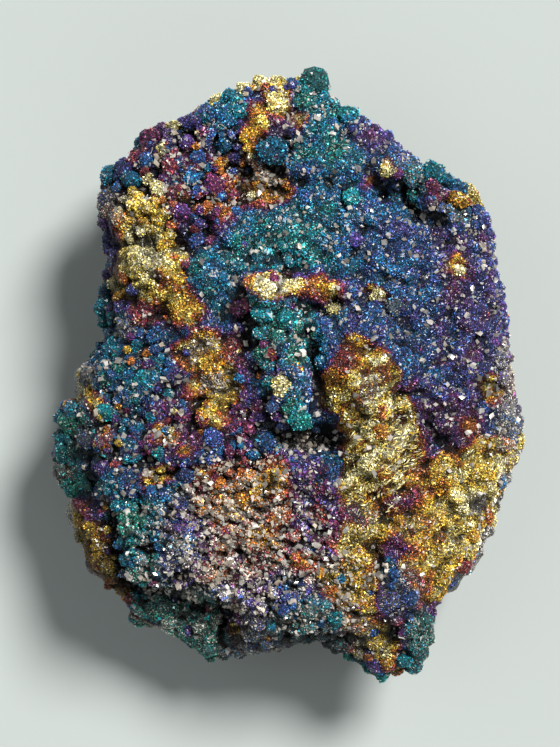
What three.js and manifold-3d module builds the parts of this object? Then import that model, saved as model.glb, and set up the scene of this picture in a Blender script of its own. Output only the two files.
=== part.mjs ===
// A hand-sized piece of peacock ore: a broken slab of rock whose front is covered by a
// crust of tarnished copper ore, with mounds, hollows and round knobs grown on it.
// It lies on its broken back. +X is to the right and +Y up as the front is looked at,
// +Z points out of the front, and the flat spot it rests on is at z = 0.
// Lengths are in millimetres and angles in degrees.
import * as THREE from "three";
import { mergeVertices } from "three/addons/utils/BufferGeometryUtils.js";
import Module from "manifold-3d";

// Driving dimensions
const frontHeight = 36; // of the plain front above the flat spot, before its mounds
const frontFall = { x: 0.0022, y: 0.0018 }; // drop per squared mm from its highest place
const frontTop = { x: 8, y: 8 }; // where the plain front is highest
const edgeRounding = 2.5; // drop of the front at its very edge
const edgePower = 8; // how close to the edge that drop stays
const sunkBase = 3; // how far the rough block reaches below the flat spot before it is cut
const roughTop = 60; // how high the flanks are drawn before the front cuts them
const clearance = 3; // how far the block with the front stands clear of the outline
const cellsAcross = 30;
const cellsAlong = 39;

// The edge of the piece as the front is looked at, clockwise from the top.
const outline = [
  [2, 58.5], [7, 57], [11, 53], [17, 49.5], [22, 45], [26, 41.5], [32, 39], [37, 36],
  [39.5, 30], [40.5, 24], [41.5, 18], [42.5, 13], [43, 7], [44, 1], [45, -5], [46, -11],
  [46, -15], [44, -20], [42, -25], [40.5, -30], [38, -35], [35.5, -40], [32, -43],
  [29, -47], [28, -53], [26.5, -58], [22, -59], [19, -60.5], [14, -57.5], [10, -55],
  [4, -53], [-2, -54.5], [-8, -56], [-13, -57], [-17, -57], [-21, -54.5], [-26, -51],
  [-32, -49.5], [-37, -43], [-41, -36], [-43.5, -30], [-44, -24.5], [-46.5, -20.5],
  [-46.5, -13], [-46, -7], [-42, -4.5], [-42, 1], [-38, 5.5], [-35.5, 7.5], [-38, 13],
  [-36.5, 19], [-35.5, 24], [-37, 29], [-37, 36], [-37, 41], [-32, 43], [-29, 48],
  [-22, 50.5], [-16, 54], [-10, 57], [-5, 59], [-1, 59],
];

// How far the front's edge stands back from the outline, by direction from the middle.
const frontInset = [
  [-180, 4.5], [-168, 9], [-148, 8.5], [-135, 4], [-115, 2], [-60, 2.5], [-35, 3.5],
  [-15, 2], [0, 1.5], [90, 1.5], [135, 2.5], [160, 4], [180, 4.5],
];
const backInset = 7; // the same at the back, all round
const flankPower = 3; // how square the flank is between front and back
const flankLevels = [-1, -0.5, 0.3, 0.65, 0.85, 1]; // from the base to the front's edge

// Mounds and hollows of the front: middle, half sizes, turn and rise.
const mounds = [
  { at: [15, 2], half: [10, 8], turn: -20, rise: 5 }, // gold mound right of the middle
  { at: [4, -12], half: [7, 2.6], turn: -5, rise: -5 }, // cave under the middle ridge
  { at: [-6.5, 37], half: [7, 4.2], turn: -8, rise: -4 }, // lined hollow near the top
  { at: [-3, 53], half: [4, 6], turn: 0, rise: -1.2 }, // saddle at the top
  { at: [-28, 32], half: [8, 5], turn: 0, rise: 2.2 }, // upper mound on the left
  { at: [-27, 21.5], half: [8, 5], turn: 0, rise: 3.2 }, // lower mound on the left
  { at: [-16.5, 0], half: [5, 9], turn: 5, rise: -1.4 }, // shallow patch left of the middle
  { at: [30, 10], half: [13, 20], turn: 0, rise: 1.4 }, // wide plain on the right
  { at: [16, -53], half: [6, 4], turn: 0, rise: -3.5 }, // pocket at the bottom
  { at: [5, -49], half: [9, 3.5], turn: -8, rise: 2.6 }, // lobes at the bottom
  { at: [-1, -54], half: [10, 1.8], turn: 0, rise: -4 }, // gap below those lobes
  { at: [39.5, -2.5], half: [3, 2.6], turn: 0, rise: -2 }, // pit near the right edge
  { at: [-32, -17], half: [9, 9], turn: 0, rise: 2.4 }, // left shoulder
  { at: [-26, -33], half: [9, 7], turn: 0, rise: 3 }, // block above the lower shelf
  { at: [-24, -50], half: [10, 5], turn: -20, rise: 2 }, // lobe on the lower shelf
];

// Ridges and grooves of the front: both ends, half width and rise.
const ridges = [
  { from: [-5, 17], to: [2, -9], half: 4.5, rise: 4.6 }, // middle ridge
  { from: [-8, 17.5], to: [11, 17], half: 2, rise: 2.6 }, // gold ledge across its head
  { from: [4, 8], to: [6, -9], half: 2.2, rise: -2.4 }, // groove beside the gold mound
  { from: [14, -4], to: [18, -17], half: 5, rise: 3 }, // spur below the gold mound
  { from: [-13, 46], to: [-9, 41], half: 2.5, rise: -2 }, // valley beside the top knob
  { from: [-36, 26.5], to: [-22, 26], half: 2.4, rise: -2 }, // crease between left mounds
  { from: [22, 41], to: [36, 34], half: 4.5, rise: 2.8 }, // knobbly ridge at top right
  { from: [18, 36.5], to: [28, 30.5], half: 2.6, rise: -1.8 }, // groove at its foot
  { from: [22, -34], to: [23, -50], half: 4, rise: 1.6 }, // spur at the bottom right
  { from: [-36, 8], to: [-24, 10], half: 2.8, rise: -1.6 }, // notch in the left side
];

// The lower left of the front breaks off to a shelf this much deeper.
const shelf = { leftEnd: [-36, -41.5], rightEnd: [-12, -45], drop: 8, soft: 1.6, fade: 5 };

// Lumps of the crust in uneven rows: spacing both ways, bend of the rows, turn and height.
const lumps = [
  { across: 9.5, along: 8, bend: 1.5, turn: 17, height: 0.75 },
  { across: 17, along: 14, bend: 1.2, turn: -38, height: 0.8 },
];

// Flat breaks of the back: direction, distance of the foot's edge, and slope.
const breaks = [
  { way: 0, foot: 19, slope: 0.5 }, { way: 42, foot: 25, slope: 0.72 },
  { way: 88, foot: 29, slope: 0.42 }, { way: 128, foot: 27, slope: 0.66 },
  { way: 181, foot: 20, slope: 0.46 }, { way: 222, foot: 26, slope: 0.6 },
  { way: 266, foot: 25, slope: 0.38 }, { way: 318, foot: 27, slope: 0.7 },
];
const moundSteepness = 0.7;
const rowWaviness = 0.65; // waves in the rows of lumps, per lump
const backReach = 90; // half size of the block that the flat breaks are cut from
const backDepth = 80;

// Round knobs grown on the crust: place as the front is looked at, and radius.
const knobs = [
  // along the top edge, left to right
  [-36, 40, 1.9], [-33, 41, 1.7], [-30, 43, 1.7], [-27.5, 47, 2.2], [-25, 48.5, 1.7],
  [-22.5, 49, 1.7], [-19.5, 50, 1.5], [-16.5, 52, 1.7], [-14, 54.5, 1.8], [-11.5, 55, 1.8],
  [-9, 57, 1.9], [-5.5, 58, 1.7], [-2.5, 58.5, 1.5], [2, 59.5, 1.3], [5, 59.2, 2.8],
  [12, 53.2, 2.2], [15, 51, 1.3], [17.5, 50, 1.3], [19.5, 47.5, 1.5], [21.5, 45, 1.3],
  [24.5, 42.5, 1.5], [29.5, 41.5, 2.3], [31.5, 40, 1.7], [35.5, 37, 1.9], [37, 35.5, 1.7],
  // down the right edge
  [39, 31, 1.5], [39.5, 28, 1.5], [41.5, 16, 1.2], [43, 12.2, 1.6], [43, 8.5, 1.2],
  [44, 4, 1.3], [44.5, -0.5, 1.3], [45, -7, 1.3], [46.2, -13.4, 1.6], [43.5, -21, 1.2],
  [40.5, -29, 1.5], [37.5, -36, 1.3],
  // along the bottom edge, right to left
  [27.5, -51, 1.5], [26.5, -55, 1.6], [25, -58, 2], [21.5, -59.5, 1.5], [19, -60.4, 1.7],
  [16.5, -59.3, 1.6], [12.5, -57.5, 1.5], [9.5, -55.5, 1.5], [-7, -54.5, 1.4],
  [-10, -56, 1.7], [-13.5, -56.5, 1.4], [-16.5, -57, 1.5], [-28, -49.5, 1.4],
  [-31, -49.3, 1.5],
  // up the left edge
  [-43.5, -22.5, 1.7], [-45.5, -19, 1.8], [-45, -15.5, 1.9], [-45, -12.5, 1.9],
  [-44, -9.5, 2], [-43, -7, 1.7], [-37.5, 11.5, 1.8], [-37.5, 14, 2.3], [-36, 17, 1.7],
  [-36.5, 20.5, 1.6], [-36.5, 26, 1.5], [-36.8, 32, 1.4], [-36.3, 35.5, 1.7],
  // on the front, top left
  [-3.4, 44.2, 2.7], [-12, 50.5, 1.7], [-16.5, 51, 1.6], [-28, 42.5, 1.7], [-25.5, 36.5, 2],
  [-21.2, 32.2, 1.8], [-15, 37.4, 2.3], [-11, 35.5, 1.5], [-18, 26.2, 1.8], [-17.8, 43.2, 1.8],
  [-23.4, 41, 1.7], [-31, 38.8, 1.8], [-20, 46.2, 1.6], [-13, 45.4, 1.7], [-24.8, 44.6, 1.6],
  [-9.5, 52.6, 1.7], [-19.5, 38.6, 1.7], [-2.5, 53.4, 2.1], [-5, 50.2, 1.7], [-27.4, 38.9, 1.5],
  // on the front, top right
  [12.3, 35, 1.9], [19, 40.5, 1.5], [24, 39.5, 1.9], [25, 35.5, 1.7], [28, 37, 1.7],
  [33, 34.5, 1.7],
  // on the front, middle
  [-1.2, -1.8, 1.9], [-8.3, 14, 1.3], [-5, 12, 1.9], [-1, 11.5, 1.7], [2, -8.5, 2.1],
  // on the front, lower left
  [-29, -0.5, 2], [-24, -3.5, 1.7], [-35, 4.5, 1.7], [-4.5, -13, 2.1], [-15, -12, 1.8],
  [-32, -30, 1.7], [-30.8, -15.8, 1.6], [-25.2, -14.8, 1.6], [-36, -7, 1.6], [-21, -8, 1.6],
  [-36.5, -18, 1.7], [-27, -22.5, 1.6], [-33.5, -25, 1.6], [-20.5, -19.5, 1.7],
  // on the front, bottom
  [4, -46.5, 1.7], [9, -48, 1.9], [21, -39, 1.9], [23.5, -43, 1.9],
];
const knobSink = 0.35; // share of its radius that a knob's middle lies under the crust
const knobRimSink = 0.5; // the same inwards from the rim
const knobBite = 0.6; // share of its radius that a rim knob reaches into the flank
const knobDimples = 0.06; // depth of the dimples in a knob's skin, as a share of its radius
const bigKnob = 1.75; // knobs of this radius and over get more faces

const turned = (degrees) => THREE.MathUtils.degToRad(degrees);
const smooth = (t) => THREE.MathUtils.smoothstep(t, 0, 1);

// A value listed by angle, straight between its entries. The list runs from -180 to 180.
function byAngle(list, angle) {
  const next = list.findIndex(([a]) => a >= angle);
  if (next <= 0) return list[Math.max(next, 0)][1];
  const [[a0, v0], [a1, v1]] = [list[next - 1], list[next]];
  return v0 + ((v1 - v0) * (angle - a0)) / (a1 - a0);
}

// The outline as distance from the middle by angle, closed by repeating its ends.
const byTurn = outline
  .map(([x, y]) => [THREE.MathUtils.radToDeg(Math.atan2(y, x)), Math.hypot(x, y)])
  .sort((a, b) => a[0] - b[0]);
const outlineByAngle = [
  [byTurn.at(-1)[0] - 360, byTurn.at(-1)[1]],
  ...byTurn,
  [byTurn[0][0] + 360, byTurn[0][1]],
];
const outlineRadius = (angle) => byAngle(outlineByAngle, angle);

// How far the front's edge is from the middle in one direction, in radians.
function edgeAt(direction) {
  const angle = THREE.MathUtils.radToDeg(direction);
  return outlineRadius(angle) - byAngle(frontInset, angle);
}

// A mound's height falls as exp of minus the cube of the distance in half sizes.
function moundHeight({ at, half, turn, rise }, x, y) {
  const [dx, dy] = [x - at[0], y - at[1]];
  const [c, s] = [Math.cos(turned(turn)), Math.sin(turned(turn))];
  const q = ((dx * c + dy * s) / half[0]) ** 2 + ((dy * c - dx * s) / half[1]) ** 2;
  return rise * Math.exp(-moundSteepness * q ** 1.5);
}

function ridgeHeight({ from, to, half, rise }, x, y) {
  const [lx, ly] = [to[0] - from[0], to[1] - from[1]];
  const t = ((x - from[0]) * lx + (y - from[1]) * ly) / (lx * lx + ly * ly);
  const along = THREE.MathUtils.clamp(t, 0, 1);
  const d = Math.hypot(x - from[0] - along * lx, y - from[1] - along * ly);
  return rise * Math.exp(-((d / half) ** 3));
}

// Lumps are a product of two waves, each bent by the other's direction.
function lumpHeight({ across, along, bend, turn, height }, x, y) {
  const [c, s] = [Math.cos(turned(turn)), Math.sin(turned(turn))];
  const u = (2 * Math.PI * (x * c + y * s)) / across;
  const v = (2 * Math.PI * (y * c - x * s)) / along;
  const bentU = u + bend * Math.sin(rowWaviness * v);
  const bentV = v + bend * Math.cos(rowWaviness * u);
  return height * Math.sin(bentU) * Math.sin(bentV);
}

// The drop to the lower shelf, which fades out past the right end of its edge.
function shelfDrop(x, y) {
  const { leftEnd, rightEnd, drop, soft, fade } = shelf;
  const slope = (rightEnd[1] - leftEnd[1]) / (rightEnd[0] - leftEnd[0]);
  const below = leftEnd[1] + slope * (x - leftEnd[0]) - y;
  const beside = smooth((rightEnd[0] + fade - x) / fade);
  return drop * beside * smooth(below / soft / 2 + 0.5);
}

// Height of the front above the flat spot.
function frontAt(x, y) {
  const fall = frontFall.x * (x - frontTop.x) ** 2 + frontFall.y * (y - frontTop.y) ** 2;
  let z = frontHeight - fall - shelfDrop(x, y);
  for (const mound of mounds) z += moundHeight(mound, x, y);
  for (const ridge of ridges) z += ridgeHeight(ridge, x, y);
  for (const rows of lumps) z += lumpHeight(rows, x, y);
  return z;
}

// Height of the front's edge in one direction from the middle.
function edgeHeight(direction) {
  const edge = edgeAt(direction);
  return frontAt(edge * Math.cos(direction), edge * Math.sin(direction)) - edgeRounding;
}

// Height of the front with its rounded edge.
function roundedFrontAt(x, y) {
  const share = Math.min(1, Math.hypot(x, y) / edgeAt(Math.atan2(y, x)));
  return frontAt(x, y) - edgeRounding * share ** edgePower;
}

// Place on the flank at a level from -1 (the base) over 0 (where it is widest) to 1.
function flankPoint(direction, level) {
  const angle = THREE.MathUtils.radToDeg(direction);
  const inset = level > 0 ? byAngle(frontInset, angle) : backInset;
  const reach = outlineRadius(angle) - inset * Math.abs(level) ** flankPower;
  const z = ((edgeHeight(direction) + sunkBase) * (level + 1)) / 2 - sunkBase;
  return [reach * Math.cos(direction), reach * Math.sin(direction), z];
}

// Middle of a knob: sunk in the front, or past the front's edge set into the flank.
function knobMiddle(x, y, radius) {
  const direction = Math.atan2(y, x);
  const angle = THREE.MathUtils.radToDeg(direction);
  const rim = outlineRadius(angle) - knobRimSink * radius;
  const out = Math.min(Math.hypot(x, y), rim);
  if (out < edgeAt(direction)) return [x, y, roundedFrontAt(x, y) - knobSink * radius];
  const flank = (rim - out + knobBite * radius) / byAngle(frontInset, angle);
  const level = Math.min(1, flank) ** (1 / flankPower);
  const z = flankPoint(direction, level)[2] - knobSink * radius;
  return [out * Math.cos(direction), out * Math.sin(direction), z];
}

// A block whose top is the front and whose sides stand clear of the outline.
function frontBlock() {
  const wide = 2 * (Math.max(...outline.map(([x]) => Math.abs(x))) + clearance);
  const long = 2 * (Math.max(...outline.map(([, y]) => Math.abs(y))) + clearance);
  const block = new THREE.BoxGeometry(wide, long, 2, cellsAcross, cellsAlong, 1);
  const place = block.getAttribute("position");
  for (let i = 0; i < place.count; i++) {
    const top = roundedFrontAt(place.getX(i), place.getY(i));
    place.setZ(i, place.getZ(i) > 0 ? top : -sunkBase);
  }
  return asSolid(block);
}

// The block inside the flanks: rings of the outline from the base up, closed by two fans.
function flankBlock() {
  const directions = outline.map(([x, y]) => Math.atan2(y, x));
  const turns = directions.length;
  const rings = flankLevels.map((level) => directions.map((d) => flankPoint(d, level)));
  rings.push(rings.at(-1).map(([x, y]) => [x, y, roughTop]));
  const points = [...rings.flat(), [0, 0, -sunkBase], [0, 0, roughTop]];
  const [low, high, topRing] = [points.length - 2, points.length - 1, points.length - 2 - turns];
  const faces = [];
  for (let i = 0; i < turns; i++) {
    const next = (i + 1) % turns;
    faces.push([low, i, next], [high, topRing + next, topRing + i]);
    for (let ring = 0; ring + 1 < rings.length; ring++) {
      const [a, b] = [ring * turns + i, ring * turns + next];
      faces.push([a, a + turns, b], [b, a + turns, b + turns]);
    }
  }
  const block = new THREE.BufferGeometry();
  block.setAttribute("position", new THREE.Float32BufferAttribute(points.flat(), 3));
  block.setIndex(faces.flat());
  return asSolid(block);
}

const wasm = await Module();
wasm.setup();

function asSolid(geometry) {
  const bare = geometry.clone();
  bare.deleteAttribute("normal");
  bare.deleteAttribute("uv");
  const merged = mergeVertices(bare, 1e-3);
  return new wasm.Manifold(
    new wasm.Mesh({
      numProp: 3,
      vertProperties: merged.getAttribute("position").array,
      triVerts: new Uint32Array(merged.index.array),
    }),
  );
}

// The block that is kept above one flat break, as a big box leaning on the break.
function blockAbove({ way, foot, slope }) {
  const block = new THREE.BoxGeometry(4 * backReach, 4 * backReach, backDepth);
  block.translate(0, 0, backDepth / 2);
  block.rotateY(-Math.atan(slope));
  block.translate(foot, 0, 0);
  block.rotateZ(turned(way));
  return asSolid(block);
}

function backBlock() {
  const block = new THREE.BoxGeometry(2 * backReach, 2 * backReach, backDepth);
  block.translate(0, 0, backDepth / 2);
  let kept = asSolid(block);
  for (const flatBreak of breaks) kept = kept.intersect(blockAbove(flatBreak));
  return kept;
}

// A knob is a ball with a dimpled skin, turned by its number so that no two look alike.
function knob([x, y, radius], number) {
  const ball = new THREE.IcosahedronGeometry(radius, radius >= bigKnob ? 1 : 0);
  const skin = ball.getAttribute("position");
  for (let i = 0; i < skin.count; i++) {
    const [px, py, pz] = [skin.getX(i), skin.getY(i), skin.getZ(i)];
    const swell = 1 + knobDimples * Math.sin((3 * px + 4 * py + 5 * pz) / radius + number);
    skin.setXYZ(i, px * swell, py * swell, pz * swell);
  }
  ball.rotateX(number);
  ball.rotateZ(2 * number);
  ball.translate(...knobMiddle(x, y, radius));
  return asSolid(ball);
}

function stone() {
  let solid = frontBlock().intersect(flankBlock());
  knobs.forEach((place, number) => {
    solid = solid.add(knob(place, number));
  });
  solid = solid.intersect(backBlock());
  const { numProp, vertProperties, triVerts } = solid.getMesh();
  const geometry = new THREE.BufferGeometry();
  geometry.setAttribute("position", new THREE.BufferAttribute(vertProperties, numProp));
  geometry.setIndex(new THREE.BufferAttribute(triVerts, 1));
  geometry.computeBoundingBox();
  const middle = geometry.boundingBox.getCenter(new THREE.Vector3());
  geometry.translate(-middle.x, -middle.y, 0);
  geometry.computeVertexNormals();
  return geometry;
}

const tarnishedOre = new THREE.MeshStandardMaterial({
  color: 0x35506e,
  roughness: 0.4,
  metalness: 0.7,
  flatShading: true,
});

const ore = new THREE.Mesh(stone(), tarnishedOre);
ore.name = "peacock_ore";

const piece = new THREE.Group();
piece.add(ore);

export default piece;
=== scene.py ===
import math
import bpy
import numpy as np
from mathutils import Euler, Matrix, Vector


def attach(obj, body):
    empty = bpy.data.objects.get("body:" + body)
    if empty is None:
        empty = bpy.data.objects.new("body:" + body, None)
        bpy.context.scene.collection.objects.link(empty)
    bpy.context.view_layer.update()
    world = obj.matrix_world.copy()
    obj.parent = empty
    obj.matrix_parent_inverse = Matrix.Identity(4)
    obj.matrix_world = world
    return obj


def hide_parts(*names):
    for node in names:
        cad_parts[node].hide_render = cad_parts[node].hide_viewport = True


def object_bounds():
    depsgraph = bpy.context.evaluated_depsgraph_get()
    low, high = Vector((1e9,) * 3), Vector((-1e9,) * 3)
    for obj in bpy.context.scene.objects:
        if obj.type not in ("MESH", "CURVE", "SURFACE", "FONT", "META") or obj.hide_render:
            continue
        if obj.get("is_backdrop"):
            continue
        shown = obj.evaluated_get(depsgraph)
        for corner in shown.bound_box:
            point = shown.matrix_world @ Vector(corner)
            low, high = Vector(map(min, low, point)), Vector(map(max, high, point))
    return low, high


# A hand-sized piece of peacock ore, lying on its broken back and seen from above.
# Shapes are worked out in millimetres, in the raw layout of the CAD part before it was
# centred, and are moved and scaled to metres when a mesh is made.

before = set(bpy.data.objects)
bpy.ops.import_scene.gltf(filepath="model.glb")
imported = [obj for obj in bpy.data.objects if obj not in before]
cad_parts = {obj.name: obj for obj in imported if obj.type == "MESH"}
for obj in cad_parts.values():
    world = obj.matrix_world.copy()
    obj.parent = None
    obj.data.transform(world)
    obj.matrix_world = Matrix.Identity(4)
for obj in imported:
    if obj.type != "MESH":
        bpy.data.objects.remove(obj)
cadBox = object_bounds()
print("frame loaded", [round(v * 1000, 1) for v in cadBox[1]])

rng = np.random.default_rng(31)

layout = {
    "middle": (-0.31, -0.82),  # middle of the raw outline's box, which the part is centred on
    "photoScale": 5.0,  # photo pixels per millimetre
    "photoMiddle": (289.0, 376.0),  # photo pixel that the raw layout's origin is at
}


# Random numbers on a lattice, mixed between its points with a smooth step. The lattice is
# turned, so that it is out of line with the stone.
latticeSide = 64
latticeTurn = np.array(Euler((0.6, 0.5, 0.7)).to_matrix())
lattice = rng.random((latticeSide, latticeSide, latticeSide)) * 2 - 1
seedPlaces = rng.random((latticeSide, latticeSide, latticeSide, 3))
noiseStep = 7.31  # cells from one layer of the noise to the next
seedStep = 5.17  # cells from one layer of the seeds to the next


# A step from 0 to 1 that is level at both ends: three t squared less two t cubed.
def smooth(t):
    t = np.clip(t, 0, 1)
    return t * t * (3 - 2 * t)


# The first value, and a share of the way from it to the second.
def mix(first, second, share):
    return first + (second - first) * share


# Vectors made one long.
def unit(vectors):
    return vectors / np.maximum(np.linalg.norm(vectors, axis=1, keepdims=True), 1e-9)


# Distances along and across a direction, which is given in degrees from x.
def turned(x, y, degrees):
    c, s = math.cos(math.radians(degrees)), math.sin(math.radians(degrees))
    return x * c + y * s, y * c - x * s


# x and y of places that lie some way out from the middle in a direction.
def outAlong(direction, reach):
    return reach * np.cos(direction), reach * np.sin(direction)


# Distance to a straight line: from a point to its foot on the line, held between its ends.
def gapToLine(x, y, start, end):
    (fx, fy), (tx, ty) = start, end
    lx, ly = tx - fx, ty - fy
    t = np.clip(((x - fx) * lx + (y - fy) * ly) / (lx * lx + ly * ly), 0, 1)
    return np.hypot(x - fx - t * lx, y - fy - t * ly)


# Places on a level plane, for noise that is the same at every height.
def flatPlaces(x, y, level=0.0):
    return np.column_stack([x, y, np.full(len(x), level)])


# Random numbers of the lattice around each point, mixed by its place in its cell.
def noise(p, cell, layer=0):
    q = p @ latticeTurn / cell + layer * noiseStep
    low = np.floor(q).astype(np.int64)
    f = smooth(q - low)
    low %= latticeSide
    high = (low + 1) % latticeSide
    total = 0
    for cx, wx in ((low[:, 0], 1 - f[:, 0]), (high[:, 0], f[:, 0])):
        for cy, wy in ((low[:, 1], 1 - f[:, 1]), (high[:, 1], f[:, 1])):
            for cz, wz in ((low[:, 2], 1 - f[:, 2]), (high[:, 2], f[:, 2])):
                total = total + lattice[cx, cy, cz] * wx * wy * wz
    return total


# Several layers of noise, each half as long and half as strong as the last. The first layer's
# number picks the part of the lattice that is read.
def roughness(p, cell, layers, layer=0):
    total = 0
    for k in range(layers):
        total = total + noise(p, cell / 2**k, layer + k) / 2**k
    return total


# Distance to the nearest of a loose lattice of seeds, in cells, and a random number that
# belongs to that seed.
def nearestSeeds(p, cell, layer=0, looseness=0.85):
    q = p @ latticeTurn / cell + layer * seedStep
    home = np.floor(q).astype(np.int64)
    nearest = np.full(len(p), 9.0)
    mark = np.zeros(len(p))
    for dx in (-1, 0, 1):
        for dy in (-1, 0, 1):
            for dz in (-1, 0, 1):
                c = home + (dx, dy, dz)
                w = c % latticeSide
                jitter = seedPlaces[w[:, 0], w[:, 1], w[:, 2]]
                gap = c + 0.5 + looseness * (jitter - 0.5) - q
                d = np.sqrt((gap * gap).sum(1))
                mark = np.where(d < nearest, lattice[w[:, 0], w[:, 1], w[:, 2]], mark)
                nearest = np.minimum(nearest, d)
    return nearest, mark


# The stone's form, the same named values as in the part's source.
stone = {
    "frontHeight": 36,
    "frontFall": (0.0022, 0.0018),
    "frontTop": (8, 8),
    "edgeRounding": 2.5,
    "edgePower": 8,
    "backInset": 7,
    "flankPower": 3,
    "sunkBase": 3,
    "moundSteepness": 0.7,
    "rowWaviness": 0.65,
    "outline": [
        (2, 58.5), (7, 57), (11, 53), (17, 49.5), (22, 45), (26, 41.5), (32, 39), (37, 36), (39.5, 30),
        (40.5, 24), (41.5, 18), (42.5, 13), (43, 7), (44, 1), (45, -5), (46, -11), (46, -15), (44, -20),
        (42, -25), (40.5, -30), (38, -35), (35.5, -40), (32, -43), (29, -47), (28, -53), (26.5, -58),
        (22, -59), (19, -60.5), (14, -57.5), (10, -55), (4, -53), (-2, -54.5), (-8, -56), (-13, -57),
        (-17, -57), (-21, -54.5), (-26, -51), (-32, -49.5), (-37, -43), (-41, -36), (-43.5, -30),
        (-44, -24.5), (-46.5, -20.5), (-46.5, -13), (-46, -7), (-42, -4.5), (-42, 1), (-38, 5.5),
        (-35.5, 7.5), (-38, 13), (-36.5, 19), (-35.5, 24), (-37, 29), (-37, 36), (-37, 41), (-32, 43),
        (-29, 48), (-22, 50.5), (-16, 54), (-10, 57), (-5, 59), (-1, 59),
    ],
    "frontInset": [
        (-180, 4.5), (-168, 9), (-148, 8.5), (-135, 4), (-115, 2), (-60, 2.5), (-35, 3.5), (-15, 2),
        (0, 1.5), (90, 1.5), (135, 2.5), (160, 4), (180, 4.5),
    ],
    # middle, half sizes, turn and rise
    "mounds": [
        ((15, 2), (10, 8), -20, 5), ((4, -12), (7, 2.6), -5, -5), ((-6.5, 37), (7, 4.2), -8, -4),
        ((-3, 53), (4, 6), 0, -1.2), ((-28, 32), (8, 5), 0, 2.2), ((-27, 21.5), (8, 5), 0, 3.2),
        ((-16.5, 0), (5, 9), 5, -1.4), ((30, 10), (13, 20), 0, 1.4), ((16, -53), (6, 4), 0, -3.5),
        ((5, -49), (9, 3.5), -8, 2.6), ((-1, -54), (10, 1.8), 0, -4),
        ((39.5, -2.5), (3, 2.6), 0, -2), ((-32, -17), (9, 9), 0, 2.4), ((-26, -33), (9, 7), 0, 3),
        ((-24, -50), (10, 5), -20, 2),
    ],
    # both ends, half width and rise
    "ridges": [
        ((-5, 17), (2, -9), 4.5, 4.6), ((-8, 17.5), (11, 17), 2, 2.6), ((4, 8), (6, -9), 2.2, -2.4),
        ((14, -4), (18, -17), 5, 3), ((-13, 46), (-9, 41), 2.5, -2),
        ((-36, 26.5), (-22, 26), 2.4, -2), ((22, 41), (36, 34), 4.5, 2.8),
        ((18, 36.5), (28, 30.5), 2.6, -1.8), ((22, -34), (23, -50), 4, 1.6),
        ((-36, 8), (-24, 10), 2.8, -1.6),
    ],
    "shelf": {"left": (-36, -41.5), "right": (-12, -45), "drop": 8, "soft": 1.6, "fade": 5},
    # spacing across and along, bend of the rows, turn and height
    "lumps": [(9.5, 8, 1.5, 17, 0.75), (17, 14, 1.2, -38, 0.8)],
    # direction, distance of the foot's edge and slope
    "breaks": [
        (0, 19, 0.5), (42, 25, 0.72), (88, 29, 0.42), (128, 27, 0.66), (181, 20, 0.46), (222, 26, 0.6),
        (266, 25, 0.38), (318, 27, 0.7),
    ],
    "cells": (172, 218, 24),  # of the mesh: across, along and up the flank
}

outlineTurns = np.degrees([math.atan2(y, x) for x, y in stone["outline"]])
outlineReach = np.array([math.hypot(x, y) for x, y in stone["outline"]])
outlineOrder = np.argsort(outlineTurns)


# Distance from the middle to the outline, read between its corners by direction.
def rimReach(direction):
    turns = outlineTurns[outlineOrder]
    return np.interp(np.degrees(direction), turns, outlineReach[outlineOrder], period=360)


# How far the front's edge lies inside the outline, in a direction.
def insetAt(direction):
    turns, insets = zip(*stone["frontInset"])
    return np.interp(np.degrees(direction), turns, insets)


# How far places lie inside the front's edge: the edge's distance out less their own.
def insideEdge(x, y):
    direction = np.arctan2(y, x)
    return rimReach(direction) - insetAt(direction) - np.hypot(x, y)


# Height of the front: a low dome, less the shelf, plus mounds, ridges and uneven lumps.
def frontAt(x, y):
    (fallX, fallY), (topX, topY) = stone["frontFall"], stone["frontTop"]
    z = stone["frontHeight"] - fallX * (x - topX) ** 2 - fallY * (y - topY) ** 2
    shelf = stone["shelf"]
    (leftX, leftY), (rightX, rightY) = shelf["left"], shelf["right"]
    below = leftY + (rightY - leftY) / (rightX - leftX) * (x - leftX) - y
    beside = smooth((rightX + shelf["fade"] - x) / shelf["fade"])
    z = z - shelf["drop"] * beside * smooth(below / shelf["soft"] / 2 + 0.5)
    for (ax, ay), (halfX, halfY), turn, rise in stone["mounds"]:
        along, across = turned(x - ax, y - ay, turn)
        size = (along / halfX) ** 2 + (across / halfY) ** 2
        z = z + rise * np.exp(-stone["moundSteepness"] * size**1.5)
    for start, end, half, rise in stone["ridges"]:
        z = z + rise * np.exp(-((gapToLine(x, y, start, end) / half) ** 3))
    for across, along, bend, turn, height in stone["lumps"]:
        right, forward = turned(x, y, turn)
        u = 2 * math.pi * right / across
        v = 2 * math.pi * forward / along
        bentU = u + bend * np.sin(stone["rowWaviness"] * v)
        bentV = v + bend * np.cos(stone["rowWaviness"] * u)
        z = z + height * np.sin(bentU) * np.sin(bentV)
    return z


# The front with a rounded edge: it falls with a high power of the share of the way out.
def roundedFrontAt(x, y):
    direction = np.arctan2(y, x)
    share = np.minimum(1, np.hypot(x, y) / (rimReach(direction) - insetAt(direction)))
    return frontAt(x, y) - stone["edgeRounding"] * share ** stone["edgePower"]


# Height of the broken back: the highest of the flat breaks, 0 on the flat spot.
def backAt(x, y):
    z = np.zeros_like(x)
    for way, foot, slope in stone["breaks"]:
        z = np.maximum(z, slope * (turned(x, y, way)[0] - foot))
    return z


# Reach and height of the flank at a level from -1 (base) over 0 (widest) to 1 (front edge),
# and the height of the front's edge. The reach shrinks with a power of the level.
def flankAt(direction, level):
    rim, inset = rimReach(direction), insetAt(direction)
    height = frontAt(*outAlong(direction, rim - inset)) - stone["edgeRounding"]
    reach = rim - np.where(level > 0, inset, stone["backInset"]) * abs(level) ** stone["flankPower"]
    return reach, (height + stone["sunkBase"]) * (level + 1) / 2 - stone["sunkBase"], height


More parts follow.
